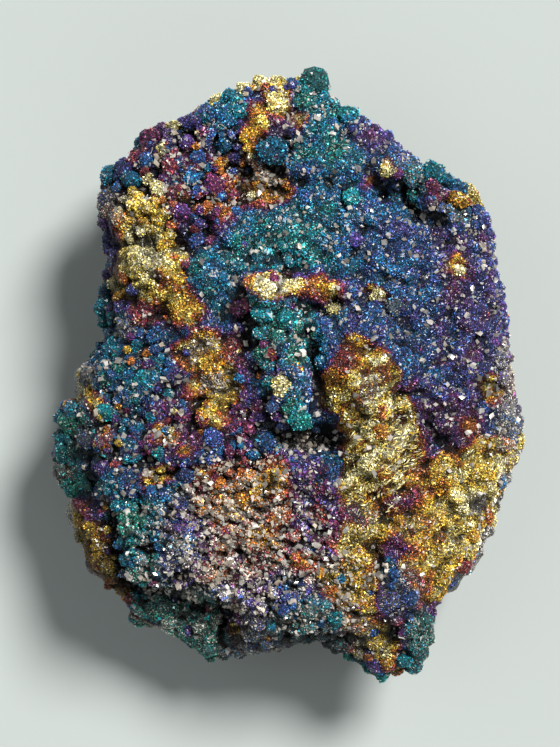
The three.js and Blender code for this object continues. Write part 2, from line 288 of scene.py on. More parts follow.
# Level at which the flank meets the broken back, found by going to and fro between them.
def lowestLevel(direction, rounds=6):
    reach = rimReach(direction)
    for _ in range(rounds):
        z = backAt(*outAlong(direction, reach))
        height = flankAt(direction, np.ones_like(direction))[2]
        level = 2 * (z + stone["sunkBase"]) / (height + stone["sunkBase"]) - 1
        reach = flankAt(direction, level)[0]
    return level


# A closed mesh on the six sides of a box: its points as (a, b, c) from -1 to 1, and quads.
def boxGrid(na, nb, nc):
    a, b = np.meshgrid(np.linspace(-1, 1, na + 1), np.linspace(-1, 1, nb + 1), indexing="ij")
    number = np.arange((na + 1) * (nb + 1)).reshape(na + 1, nb + 1)
    ring = np.concatenate([number[:-1, 0], number[-1, :-1], number[:0:-1, -1], number[0, :0:-1]])
    flat = np.column_stack([a.ravel(), b.ravel()])
    count = len(flat)
    levels = np.linspace(-1, 1, nc + 1)
    points = [np.column_stack([flat, np.ones(count)]), np.column_stack([flat, -np.ones(count)])]
    rings = [ring + count]
    for k in range(1, nc):
        points.append(np.column_stack([flat[ring], np.full(len(ring), levels[k])]))
        rings.append(2 * count + (k - 1) * len(ring) + np.arange(len(ring)))
    rings.append(ring)
    top = np.stack([number[:-1, :-1], number[1:, :-1], number[1:, 1:], number[:-1, 1:]], -1)
    top = top.reshape(-1, 4)
    quads = [top, top[:, ::-1] + count]
    for low, high in zip(rings[:-1], rings[1:]):
        quads.append(np.column_stack([low, np.roll(low, -1), np.roll(high, -1), high]))
    return np.concatenate(points), np.concatenate(quads), len(top)


# Cross product of each quad's diagonals: its normal, twice its area long.
def quadCross(points, quads):
    corners = [points[quads[:, k]] for k in range(4)]
    return np.cross(corners[2] - corners[0], corners[3] - corners[1])


# Normals of a mesh of quads at its points: the sum of the quads' around each point.
def pointNormals(points, quads):
    cross = quadCross(points, quads)
    normals = np.zeros_like(points)
    for corner in range(4):
        for axis in range(3):
            normals[:, axis] += np.bincount(quads[:, corner], cross[:, axis], len(points))
    return unit(normals)


# Photo pixel to the raw layout.
def fromPhoto(px, py):
    mx, my = layout["photoMiddle"]
    return (px - mx) / layout["photoScale"], (my - py) / layout["photoScale"]


# Zones of the front, as ellipses in photo pixels: x, y, half width, half height, turn and
# value. Each is laid over the ones before it, with a soft edge.
def layZones(x, y, zones, start, soft):
    value = np.zeros(len(x)) + start
    for px, py, halfX, halfY, turn, level in zones:
        cx, cy = fromPhoto(px, py)
        along, across = turned(x - cx, y - cy, turn)
        halfX, halfY = halfX / layout["photoScale"], halfY / layout["photoScale"]
        beyond = (np.hypot(along / halfX, across / halfY) - 1) * min(halfX, halfY) / soft
        value = mix(value, level, smooth(0.5 - beyond))
    return value


# The tarnish goes through one row of colours as its film thickens. 0 is bare brass, then
# gold, orange, red, magenta, purple, blue, teal, and 1 is green.
film = {
    "start": 0.74,
    "wide": [
        (325, 125, 58, 48, 0, 0.88), (285, 245, 56, 44, 0, 0.86), (220, 280, 32, 32, 0, 0.84),
        (372, 272, 38, 34, 0, 0.81), (280, 335, 38, 36, 0, 0.87), (430, 330, 85, 120, 0, 0.7),
        (475, 330, 42, 110, 0, 0.63), (440, 428, 44, 34, 0, 0.55), (450, 280, 14, 22, 0, 0.57),
        (375, 140, 28, 20, -30, 0.57), (404, 180, 28, 18, -30, 0.84), (448, 212, 18, 12, -30, 0.8),
        (432, 197, 9, 8, 0, 0.5), (125, 415, 46, 56, 0, 0.7), (122, 400, 20, 24, 0, 0.8),
        (185, 175, 64, 58, 0, 0.58), (216, 202, 24, 32, 0, 0.47), (280, 128, 13, 14, 0, 0.55),
        (234, 368, 16, 40, 0, 0.52), (178, 420, 30, 28, 0, 0.5), (240, 425, 26, 26, 0, 0.5),
        (245, 515, 62, 66, 0, 0.37), (316, 510, 26, 60, 12, 0.56), (205, 560, 40, 30, 0, 0.52),
        (270, 598, 36, 16, 0, 0.6), (138, 545, 38, 52, 0, 0.92), (186, 536, 22, 44, 0, 0.64),
        (180, 625, 56, 36, 0, 0.96), (72, 452, 24, 54, 0, 0.91), (110, 372, 18, 34, 0, 0.84),
        (312, 622, 38, 22, 0, 0.87), (385, 668, 52, 24, 0, 0.9), (295, 412, 10, 14, 0, 0.95),
        (265, 440, 13, 13, 0, 0.73), (215, 436, 12, 10, 0, 0.67), (330, 150, 10, 8, 0, 0.98),
        (314, 147, 8, 8, 0, 0.71), (105, 300, 14, 26, 0, 0.86), (160, 120, 40, 14, 30, 0.66),
        (240, 105, 26, 16, 30, 0.84),
    ],
    "wideSoft": 4.0,
    "gold": [
        (135, 222, 33, 30, 0, 0.13), (150, 268, 42, 42, 0, 0.09), (176, 300, 20, 26, 0, 0.15),
        (152, 262, 17, 13, 0, 0.01), (190, 312, 15, 20, 0, 0.13), (146, 316, 19, 13, 0, 0.42),
        (276, 105, 14, 20, 0, 0.08), (252, 130, 14, 20, 10, 0.18), (249, 152, 11, 24, 10, 0.2),
        (231, 168, 11, 12, 0, 0.24), (240, 180, 12, 10, 0, 0.3), (250, 88, 14, 9, 0, 0.03),
        (277, 82, 7, 7, 0, 0.04), (300, 77, 6, 8, 0, 0.04), (299, 122, 9, 7, 0, 0.12),
        (265, 193, 30, 21, 0, 0.24), (200, 211, 38, 9, 0, 0.28), (274, 290, 29, 10, 0, 0.02),
        (313, 290, 11, 12, 0, 0.26), (330, 291, 9, 11, 0, 0.05), (343, 291, 5, 11, 0, 0.38),
        (204, 352, 26, 18, 0, 0.18), (212, 392, 25, 34, 0, 0.16), (356, 384, 35, 40, 0, 0.13),
        (330, 377, 17, 10, 0, 0.22), (338, 358, 12, 11, 0, 0.4), (378, 440, 38, 52, 0, 0.14),
        (404, 405, 12, 17, 0, 0.12), (372, 482, 38, 34, 0, 0.12), (452, 506, 44, 50, 0, 0.09),
        (484, 462, 28, 25, -12, 0.12), (424, 482, 26, 20, 0, 0.16), (430, 552, 36, 48, 0, 0.1),
        (362, 540, 26, 24, 0, 0.1), (372, 636, 24, 26, 0, 0.11), (348, 575, 38, 22, 0, 0.13),
        (352, 600, 26, 32, 0, 0.16), (426, 584, 22, 34, 8, 0.13), (392, 548, 20, 12, 0, 0.52),
        (389, 587, 9, 30, 4, 0.72), (400, 601, 15, 13, 0, 0.67), (386, 568, 8, 11, 0, 0.8),
        (384, 592, 7, 9, 0, 0.56), (410, 577, 8, 6, 0, 0.5), (420, 586, 8, 9, 0, 0.4),
        (396, 621, 10, 6, 0, 0.42), (424, 634, 17, 26, 0, 0.93), (384, 498, 52, 30, -30, 0.14),
        (398, 500, 21, 11, 20, 0.5), (359, 520, 10, 6, 0, 0.6), (412, 450, 10, 10, 0, 0.28),
        (275, 155, 19, 17, 0, 0.56), (102, 214, 9, 22, 0, 0.68), (106, 256, 8, 28, 0, 0.62),
        (317, 76, 12, 11, 0, 0.87), (418, 470, 9, 12, 0, 0.3), (385, 174, 7, 7, 0, 0.05),
        (363, 182, 5, 4, 0, 0.05), (469, 191, 12, 10, -20, 0.16), (454, 272, 9, 9, 0, 0.08),
        (375, 293, 9, 8, 0, 0.1), (487, 390, 12, 13, 0, 0.1), (465, 428, 6, 6, 0, 0.12),
        (98, 415, 8, 20, 15, 0.04), (110, 507, 7, 6, 0, 0.03), (95, 445, 8, 6, 0, 0.14),
        (162, 476, 14, 12, 0, 0.12), (166, 430, 9, 7, 0, 0.14), (186, 446, 7, 6, 0, 0.18),
        (202, 466, 10, 7, 0, 0.22), (235, 632, 10, 16, 0, 0.13), (241, 606, 7, 6, 0, 0.15),
        (102, 560, 17, 64, 22, 0.15), (82, 525, 10, 10, 0, 0.05), (262, 480, 24, 12, 0, 0.2),
        (235, 500, 18, 16, 0, 0.24), (258, 540, 20, 12, 0, 0.24), (205, 505, 10, 8, 0, 0.26),
        (222, 548, 10, 12, 0, 0.3), (282, 500, 12, 8, 0, 0.3), (300, 560, 16, 8, 0, 0.24),
        (215, 575, 10, 6, 0, 0.28),
    ],
    "goldSoft": 2.3,
    "goldMost": 0.2,  # zones of the list above that are gold are below this
    "softSpread": 0.7,  # how unevenly wide the fringe round a gold patch is
    "softCell": 4.0,
    "inGold": (0.09, 2.6, 0.06, 0.9),  # drift inside gold: amount and reach, coarse then fine
    "calm": [(272, 290, 22, 9, 0, 1.0), (152, 262, 18, 14, 0, 0.8)],  # gold that is all one colour
    "spots": (0.3, 2.0, 0.4, 4),  # tarnished spots in gold: colour, size, how rare, how sharp
    "streaks": {
        "zone": (376, 432, 46, 92, -12, 1.0),
        "way": 35,  # degrees, the way they lie
        "stretch": 4.5,
        "cell": 0.75,
        "film": 0.13,
        "tone": 0.3,
        "rise": 0.25,
        "upright": 0.3,  # how fast they change with height
        "soft": 3.0,
        "contrast": 1.6,
    },
    "least": 0.02,
    "warp": (1.5, 5.0),  # how far the edges of the zones wander, and how long the bends are
    "fineWarp": (0.7, 1.5),
    "warpStep": 3.7,
    # places on the flank wander: from which depth on, over how much of it, how far, and the bends
    "fall": (3.0, 14.0, 0.9, 6.0),
    "drift": (0.06, 2.6),  # how much the colour drifts inside a zone, and how far that reaches
    "mixed": [
        (185, 175, 70, 62, 0, 0.16), (150, 430, 80, 80, 0, 0.13), (250, 510, 80, 76, 0, 0.1),
        (280, 350, 40, 64, 0, 0.13), (140, 545, 50, 50, 0, 0.1), (330, 520, 40, 60, 0, 0.14),
    ],
    "mixedCell": 2.3,
    "mixedStart": 0.05,
    "mixedSoft": 4.0,
}

# Tarnish of the parts that the photo doesn't show: the flank and the broken back.
unseen = {
    "flankFilm": (0.8, 0.22, 9.0, 0.12),  # middle, drift, its reach, and share of the cells' own
    "flankGold": (13.0, 0.35, 4, 0.12),  # gold patches: size, how rare, how sharp, and colour
    "backFilm": (0.42, 0.5, 6.0),  # middle, drift and its reach
    "flankBare": (0.25, 0.5, 8.0, 1.5),  # least bare rock, how much more, reach and contrast
    "patches": (8.0, 1.8, 0.35),  # tarnish on broken rock: size, contrast and how rare
    "veins": (14.0, 9, 10.0, 1.5, 0.2),  # reach, thinness, length of the parts, contrast, share
    "veinShare": 0.6,
    "tarnish": 0.8,  # how much of a patch is tarnished
    "tone": 0.75,
}

# Bare grey rock and silvery grains, as shares of the crust.
matrix = {
    "start": 0.03,
    "zones": [
        (508, 340, 13, 140, -4, 0.7), (498, 534, 14, 98, -24, 0.88), (420, 642, 18, 34, 0, 0.35),
        (80, 378, 14, 34, 0, 0.9), (60, 478, 12, 24, 0, 0.85), (106, 206, 16, 20, 0, 0.65),
        (280, 650, 56, 14, 0, 0.8), (204, 352, 17, 8, 0, 0.75), (213, 382, 12, 10, 0, 0.8),
        (268, 180, 19, 10, 0, 0.85), (471, 504, 10, 13, 0, 0.95), (362, 516, 18, 10, 0, 0.5),
        (215, 545, 50, 50, 0, 0.12), (366, 390, 11, 18, -15, 0.5), (388, 440, 9, 12, -20, 0.45),
        (128, 330, 12, 10, 0, 0.7), (300, 440, 34, 9, 8, 0.75), (448, 212, 22, 14, -30, 0.5),
        (404, 178, 24, 16, -30, 0.35), (317, 76, 12, 11, 0, 0.45), (272, 290, 16, 7, 0, 0.35),
        (90, 440, 20, 20, 0, 0.35), (130, 622, 16, 10, 0, 0.7), (220, 658, 22, 8, 0, 0.7),
        (262, 172, 22, 8, 0, 0.5), (272, 152, 12, 12, 0, 0.3), (180, 620, 56, 34, 0, 0.25),
        (310, 632, 70, 30, 0, 0.55), (391, 309, 10, 9, 0, 0.5), (280, 350, 30, 66, 0, 0.14),
        (399, 590, 17, 25, 0, 0.46),
    ],
    "soft": 1.6,
    # grains along a net of thin lines on the ledges: zone, size of the mesh, width and share
    "netZone": (228, 562, 104, 84, 0, 1.0),
    "netCell": 2.2,
    "netWidth": 0.24,
    "netShare": 0.68,
    "netEdge": 1.4,
    "netSoft": 6.0,
    "netTone": 1.7,
    "inGold": (0.16, 3.6, 2.5, 0.5),  # grey flecks in gold: share, size, contrast and how rare
}

# Brightness of the crust: under 1 where the photo shows it dull or dark.
# Many of these zones are painted shade: hollows, the shelf under the ledges, the sides that face away
# from the light and the ground round the large ball are darkened. Others set the crust's own colour,
# duller in places and brighter in others.
shade = {
    "start": 1.0,
    "zones": [
        (72, 452, 26, 56, 0, 0.5), (180, 625, 58, 38, 0, 0.62), (105, 310, 16, 36, 0, 0.5),
        (100, 560, 22, 66, 22, 0.6), (140, 545, 42, 50, 0, 0.76), (140, 222, 32, 28, 0, 1.04),
        (164, 272, 40, 40, 0, 0.92), (274, 290, 30, 10, 0, 1.1), (374, 436, 48, 88, -10, 0.8),
        (320, 250, 90, 70, 0, 1.14), (252, 132, 14, 22, 8, 1.35), (160, 130, 60, 22, 30, 0.75),
        (125, 180, 26, 22, 0, 0.6), (312, 638, 80, 36, 0, 0.5), (436, 430, 42, 28, 0, 0.7),
        (471, 504, 11, 14, 0, 0.5), (420, 645, 22, 36, 0, 0.55), (391, 309, 11, 10, 0, 0.6),
        (130, 400, 60, 70, 0, 0.82), (110, 370, 20, 34, 0, 0.75), (440, 190, 40, 24, -30, 0.75),
        (272, 155, 15, 14, 0, 0.75), (318, 80, 14, 12, 0, 0.6), (436, 162, 13, 10, 0, 0.5),
        (408, 195, 14, 10, 0, 0.5), (262, 520, 80, 76, 0, 1.3), (300, 434, 38, 12, 6, 0.5),
        (110, 290, 13, 34, 0, 0.45), (94, 560, 20, 64, 22, 0.26), (418, 622, 16, 24, 0, 0.6),
    ],
    "soft": 4.0,
    # small dark spots, with a sharper edge: painted shadow round the large ball, in the hollow under the
    # ridge's end and along cracks near the rim, and a few duller spots of the crust's own colour
    "fine": [
        (470, 504, 12, 15, 0, 0.4), (272, 153, 20, 19, 0, 0.45), (272, 153, 13, 13, 0, 0.75),
        (300, 434, 36, 8, 6, 0.8), (222, 625, 7, 22, 0, 0.5), (104, 240, 10, 50, 0, 0.5),
        (118, 300, 8, 50, 0, 0.6), (300, 645, 40, 8, 0, 0.65), (350, 655, 12, 10, 0, 0.6),
        (399, 590, 17, 25, 0, 0.78),
    ],
    "fineSoft": 1.6,
    "goldLow": 0.68,  # dull parts of the gold
    "goldCell": 2.6,
    "goldContrast": 1.4,
    "goldBright": 1.36,
    # painted shade: how much darker the crust is in a crack
    "crackShade": 0.75,  # how much darker a crack is
}

# Cracks and feet of ledges, sunk into the crust and darkened with painted shade: both ends in photo
# pixels, half width and depth.
creases = {
    "lines": [
        (118, 244, 158, 250, 0.7, 1.0), (176, 202, 240, 205, 0.8, 1.2), (243, 292, 248, 345, 1.2, 1.8),
        (262, 398, 276, 426, 1.3, 2.0), (282, 430, 330, 438, 1.3, 2.0), (392, 186, 414, 208, 0.9, 1.6),
        (344, 194, 346, 216, 0.7, 1.2), (375, 184, 377, 198, 0.6, 1.0), (118, 590, 200, 588, 1.2, 1.5),
        (424, 428, 442, 442, 1.0, 1.4), (152, 293, 130, 300, 0.7, 0.6), (222, 604, 220, 645, 0.9, 1.4),
        (150, 470, 196, 474, 1.0, 1.4), (252, 250, 250, 262, 0.5, 0.5), (182, 238, 196, 262, 0.9, 1.2),
        (205, 398, 190, 420, 0.8, 0.9), (96, 355, 112, 362, 0.9, 1.4), (130, 462, 160, 458, 0.9, 1.2),
        (205, 152, 232, 158, 0.7, 1.0), (160, 140, 166, 150, 0.9, 1.4), (257, 144, 258, 164, 1.0, 1.8),
        (260, 168, 280, 171, 1.0, 1.8), (286, 164, 287, 146, 0.9, 1.4), (330, 630, 350, 636, 0.9, 1.6),
        (288, 640, 330, 640, 1.2, 1.8), (385, 615, 396, 640, 0.8, 1.0), (140, 540, 152, 546, 0.8, 1.0),
        (166, 578, 182, 588, 0.8, 1.2), (230, 372, 240, 400, 0.8, 0.9), (86, 440, 92, 500, 1.2, 1.6),
        (112, 505, 118, 580, 1.2, 1.5), (236, 146, 216, 160, 0.7, 1.0), (206, 224, 196, 236, 0.6, 0.9),
        (370, 545, 380, 575, 0.6, 0.7), (310, 352, 316, 400, 0.8, 1.0), (392, 396, 420, 392, 0.6, 0.8),
        (240, 545, 250, 560, 0.8, 0.9),
    ],
    "wander": (1.2, 3.5),
}

# How strongly the crust stands up in round lumps: 1 where it is all knobs.
lumpiness = {
    "start": 0.35,
    "zones": [
        (180, 170, 76, 66, 0, 1.3), (120, 400, 60, 80, 0, 1.25), (200, 440, 70, 40, 0, 0.95),
        (145, 255, 48, 58, 0, 0.6), (440, 190, 50, 30, -30, 1.1), (280, 345, 42, 74, 0, 1.15),
        (430, 320, 70, 100, 0, 0.3), (420, 500, 80, 80, 0, 0.36), (180, 622, 52, 34, 0, 0.9),
        (330, 620, 90, 50, 0, 0.8), (142, 540, 46, 50, 0, 1.1), (260, 85, 60, 20, 20, 0.9),
    ],
    "soft": 4.0,
}

# Ledges of the lower left: the crust rises slowly and drops at each lip.
terraces = {
    "zone": (225, 545, 108, 92, 0, 1.0),
    "soft": 7.0,
    "way": 248,  # degrees, the way that the ledges look
    "pitch": 3.1,
    "drop": 1.3,
    "curve": 1.5,
    "middle": 0.4,
    "calm": 0.6,  # how much weaker the lumps are on the ledges
    # painted shade: darker at the foot of each ledge, under the lip
    "footShadowTone": 0.3,
    "footSharp": 3.5,
    "wander": (3.6, 6.0),
}


# Places moved by long bends and by short ones, so that the edges of zones wander.
def warped(x, y, layer):
    flat = flatPlaces(x, y, layer * film["warpStep"])
    (far, bend), (near, fine) = film["warp"], film["fineWarp"]
    wx = far * roughness(flat, bend, 2, 1) + near * noise(flat, fine, 4)
    wy = far * roughness(flat, bend, 2, 8) + near * noise(flat, fine, 11)
    return x + wx, y + wy


# Where a point is on its ledge, from 0 at the foot to 1 at the lip, and how far it is one:
# what is left of the distance along the ledges' way after whole ledges.
def ledgeAt(x, y):
    far, bend = terraces["wander"]
    along, _ = turned(x, y, terraces["way"])
    t = (along + far * roughness(flatPlaces(x, y), bend, 3, 20)) / terraces["pitch"]
    return t - np.floor(t), layZones(x, y, [terraces["zone"]], 0, terraces["soft"])


# Depth of the nearest crack below a point, and how near the point is to one, from 0 to 1: a
# bell of the distance to the crack's line.
def creaseAt(x, y):
    flat = flatPlaces(x, y)
    far, bend = creases["wander"]
    x = x + far * roughness(flat, bend, 2, 60)
    y = y + far * roughness(flat, bend, 2, 63)
    depth = np.zeros(len(x))
    nearness = np.zeros(len(x))
    for px, py, qx, qy, half, deep in creases["lines"]:
        gap = gapToLine(x, y, fromPhoto(px, py), fromPhoto(qx, qy))
        near = np.exp(-((gap / half) ** 2))
        depth = np.maximum(depth, deep * near)
        nearness = np.maximum(nearness, near)
    return depth, nearness


# Streaks of the gold mound, from -1 to 1: noise that is drawn out in one direction.
def streakAt(p):
    streaks = film["streaks"]
    along, across = turned(p[:, 0], p[:, 1], streaks["way"])
    drawn = np.column_stack([along / streaks["stretch"], across, p[:, 2] * streaks["upright"]])
    weight = layZones(p[:, 0], p[:, 1], [streaks["zone"]], 0, streaks["soft"])
    return np.clip(streaks["contrast"] * roughness(drawn, streaks["cell"], 2, 80), -1, 1) * weight


# Place in the row of tarnish colours. Gold patches are laid over the wide colours with a
# soft edge, so that the edge runs through the whole row. Noise and the cells' own numbers
# are added to both, and stand alone on the flank and the broken back.
def filmAt(p, x, y, soft, gold, streak, crust, onFront):
    _, mark = nearestSeeds(p, film["mixedCell"], 3)
    amount, reach = film["drift"]
    mixed = layZones(x, y, film["mixed"], film["mixedStart"], film["mixedSoft"])
    wide = layZones(x, y, film["wide"], film["start"], film["wideSoft"])
    wide = wide + amount * roughness(p, reach, 2, 5) + mixed * mark
    level = layZones(x, y, film["gold"], wide, soft)
    coarse, coarseReach, fine, fineReach = film["inGold"]
    drift = coarse * roughness(p, coarseReach, 2, 54) + fine * noise(p, fineReach, 57)
    spotLevel, spotCell, spotShare, spotSharp = film["spots"]
    spot = smooth((noise(p, spotCell, 58) - spotShare) * spotSharp) * gold
    calm = 1 - layZones(x, y, film["calm"], 0, film["goldSoft"])
    level = level + gold * (drift * calm) - film["streaks"]["film"] * streak
    level = mix(np.maximum(level, film["least"]), spotLevel, spot * calm)
    middle, amount, reach, own = unseen["flankFilm"]
    side = middle + amount * roughness(p, reach, 3, 12) + own * mark
    reach, rare, sharp, goldLevel = unseen["flankGold"]
    side = mix(side, goldLevel, smooth((roughness(p, reach, 3, 15) - rare) * sharp))
    middle, amount, reach = unseen["backFilm"]
    inside = middle + amount * roughness(p, reach, 3, 18)
    return mix(inside, mix(side, level, onFront), crust)


# Share of bare rock: zones, flecks in the gold and the net of the ledges on the front, noise
# on the flank, and on the broken back all but loose patches and a few thin veins of tarnish.
def bareAt(p, x, y, gold, net, crust, onFront):
    bare = layZones(x, y, matrix["zones"], matrix["start"], matrix["soft"])
    share, reach, contrast, rare = matrix["inGold"]
    bare = np.maximum(bare, share * gold * smooth(contrast * roughness(p, reach, 2, 61) - rare))
    bare = np.maximum(bare, matrix["netShare"] * net)
    least, more, reach, contrast = unseen["flankBare"]
    side = least + more * smooth(roughness(p, reach, 3, 22) * contrast)
    reach, contrast, rare = unseen["patches"]
    patches = smooth(contrast * roughness(p, reach, 4, 26) - rare)
    reach, thinness, length, contrast, most = unseen["veins"]
    veins = smooth(1 - thinness * abs(roughness(p, reach, 4, 66)))
    veins = veins * smooth(contrast * roughness(p, length, 2, 70) + most)
    rock = 1 - unseen["tarnish"] * np.maximum(patches, unseen["veinShare"] * veins)
    return mix(rock, mix(side, bare, onFront), crust)


# Brightness: zones of shade, partly painted shade and partly the crust's own colour, the bright net of
# the ledges, brighter gold with dull parts, the streaks, and cracks darkened with painted shade. The
# flank is even.
def shadeAt(p, x, y, gold, net, streak, onFront):
    dark = layZones(x, y, shade["zones"], shade["start"], shade["soft"])
    dark = dark * layZones(x, y, shade["fine"], 1, shade["fineSoft"])
    dark = dark * mix(1, matrix["netTone"], net)
    dull = smooth(0.5 + shade["goldContrast"] * roughness(p, shade["goldCell"], 2, 59))
    dark = dark * mix(1, shade["goldBright"], gold) * mix(1, shade["goldLow"], gold * dull)
    dark = dark * (1 + film["streaks"]["tone"] * streak)
    # painted shade in the cracks
    dark = dark * (1 - shade["crackShade"] * creaseAt(p[:, 0], p[:, 1])[1])
    return mix(unseen["tone"], dark, onFront)


# Film, bare rock and brightness at points of the stone. crust is 1 on the front and the
# upper flank and 0 on the broken back, and onFront is 1 on the front alone.
def finishAt(p, crust, onFront):
    x, y = warped(p[:, 0], p[:, 1], 0)
    # below the front's edge the places wander more and more, so that no colour runs straight down
    start, most, far, bend = film["fall"]
    fall = far * np.clip(frontAt(p[:, 0], p[:, 1]) - p[:, 2] - start, 0, most)
    x = x + fall * roughness(p, bend, 2, 90)
    y = y + fall * roughness(p, bend, 2, 92)
    soft = film["goldSoft"] * np.exp(film["softSpread"] * roughness(p, film["softCell"], 2, 52))
    goldZones = [(*zone[:5], float(zone[5] < film["goldMost"])) for zone in film["gold"]]
    gold = layZones(x, y, goldZones, 0, soft) * onFront
    streak = streakAt(p) * gold
    net = smooth(matrix["netEdge"] - abs(roughness(p, matrix["netCell"], 2, 70)) / matrix["netWidth"])
    net = net * layZones(x, y, [matrix["netZone"]], 0, matrix["netSoft"]) * onFront
    level = filmAt(p, x, y, soft, gold, streak, crust, onFront)
    bare = bareAt(p, x, y, gold, net, crust, onFront)
    dark = shadeAt(p, x, y, gold, net, streak, onFront)
    return np.clip(level, 0, 1), np.clip(bare, 0, 1), dark


# A flat-shaded mesh from arrays: points in millimetres of the raw layout, faces of one size,
# and values that belong to its points.
def addMesh(name, points, faces, values, material):
    mesh = bpy.data.meshes.new(name)
    place = (points - np.array([*layout["middle"], 0])) / 1000
    mesh.vertices.add(len(place))
    mesh.vertices.foreach_set("co", place.astype(np.float32).ravel())
    mesh.loops.add(faces.size)
    mesh.loops.foreach_set("vertex_index", faces.astype(np.int32).ravel())
    mesh.polygons.add(len(faces))
    mesh.polygons.foreach_set("loop_start", np.arange(len(faces), dtype=np.int32) * faces.shape[1])
    mesh.update(calc_edges=True)
    for key, value in values.items():
        layer = mesh.attributes.new(key, "FLOAT", "POINT")
        layer.data.foreach_set("value", np.asarray(value, dtype=np.float32))
    mesh.polygons.foreach_set("use_smooth", np.full(len(faces), False))
    mesh.materials.append(material)
    piece = bpy.data.objects.new(name, mesh)
    bpy.context.scene.collection.objects.link(piece)
    print(name, len(faces) * (faces.shape[1] - 2), "triangles")
    return piece


# Faces of many copies of one template, each copy's corners numbered after the last one's.
def copiesOf(faces, count, corners):
    numbers = faces[None] + (np.arange(count) * corners)[:, None, None]
    return numbers.reshape(-1, faces.shape[1])


# Materials

def newMaterial(name):
    material = bpy.data.materials.new(name)
    material.use_nodes = True
    tree = material.node_tree
    return material, tree, tree.nodes["Principled BSDF"]


def addNode(tree, kind, **settings):
    node = tree.nodes.new(kind)
    for key, value in settings.items():
        setattr(node, key, value)
    return node


# A number or a colour is set on the socket, and another node's output is linked to it.
def feed(tree, socket, value):
    if isinstance(value, bpy.types.NodeSocket):
        tree.links.new(value, socket)
    else:
        socket.default_value = (*value, 1) if isinstance(value, tuple) else value


def attributeOf(tree, name):
    return addNode(tree, "ShaderNodeAttribute", attribute_name=name).outputs["Fac"]


def sumOf(tree, kind, *values):
    node = addNode(tree, "ShaderNodeMath", operation=kind)
    for socket, value in zip(node.inputs, values):
        feed(tree, socket, value)
    return node.outputs[0]


def mixColour(tree, share, first, second, blend="MIX"):
    node = addNode(tree, "ShaderNodeMix", data_type="RGBA", blend_type=blend)
    for socket, value in zip((node.inputs["Factor"], *node.inputs[6:8]), (share, first, second)):
        feed(tree, socket, value)
    return node.outputs[2]


# A colour times a grey of the given brightness.
def toned(tree, colour, brightness):
    grey = addNode(tree, "ShaderNodeCombineColor")
    for channel in grey.inputs:
        feed(tree, channel, brightness)
    return mixColour(tree, 1.0, colour, grey.outputs[0], "MULTIPLY")


def rampOf(tree, stops, share):
    node = addNode(tree, "ShaderNodeValToRGB")
    line = node.color_ramp
    while len(line.elements) > 1:
        line.elements.remove(line.elements[-1])
    for k, (place, colour) in enumerate(stops):
        element = line.elements[0] if k == 0 else line.elements.new(place)
        element.position = place
        element.color = (*colour, 1)
    feed(tree, node.inputs["Fac"], share)
    return node.outputs["Color"]


# A texture on Object coordinates, with numbers for its sockets.
def textureOf(tree, kind, **numbers):
    node = addNode(tree, kind)
    feed(tree, node.inputs["Vector"], addNode(tree, "ShaderNodeTexCoord").outputs["Object"])
    for name, value in numbers.items():
        feed(tree, node.inputs[name], value)
    return node


def setGloss(shader, gloss):
    for name, value in gloss.items():
        shader.inputs[name].default_value = value


oreFinish = {
    # place in the row of tarnish colours, and colour
    "colours": [
        (0.00, (0.80, 0.76, 0.46)),
        (0.09, (0.60, 0.46, 0.07)),
        (0.19, (0.54, 0.31, 0.025)),
        (0.28, (0.52, 0.16, 0.03)),
        (0.37, (0.32, 0.06, 0.04)),
        (0.46, (0.22, 0.035, 0.09)),
        (0.55, (0.13, 0.04, 0.19)),
        (0.64, (0.06, 0.065, 0.28)),
        (0.73, (0.025, 0.13, 0.36)),
        (0.82, (0.012, 0.22, 0.36)),
        (0.90, (0.015, 0.28, 0.30)),
        (1.00, (0.03, 0.28, 0.19)),
    ],
    "rock": [(0.3, (0.13, 0.12, 0.10)), (0.5, (0.30, 0.28, 0.25)), (0.72, (0.52, 0.50, 0.45))],
    # cells per metre, how strongly they show, grains per metre, and height of the bumps
    "crust": (3200.0, 1.0, 1300.0, 0.00022),
    "crystal": (2000.0, 0.35, 900.0, 0.00003),
    "metallic": 0.45,
    "rough": (0.36, 0.6),
    "cellRough": 0.1,
    "cellFilm": 0.1,
    "grainFilm": 0.1,
    "grainDetail": {"Detail": 3.0, "Roughness": 0.6},
    "cellTone": 1.3,
    # painted shade and light: a cell's middle is brighter and its edge darker, in the gaps between the
    # small crystals
    "gapShadeTone": (1.6, 1.5),  # brightness of a cell's middle, and how fast it falls to the gaps
    "least": 0.08,
    "cellTilt": 0.5,
    "cellDome": 1.4,
    "bump": 0.7,
    "gloss": {"Specular IOR Level": 0.3, "Coat Weight": 0.3, "Coat Roughness": 0.16},
}
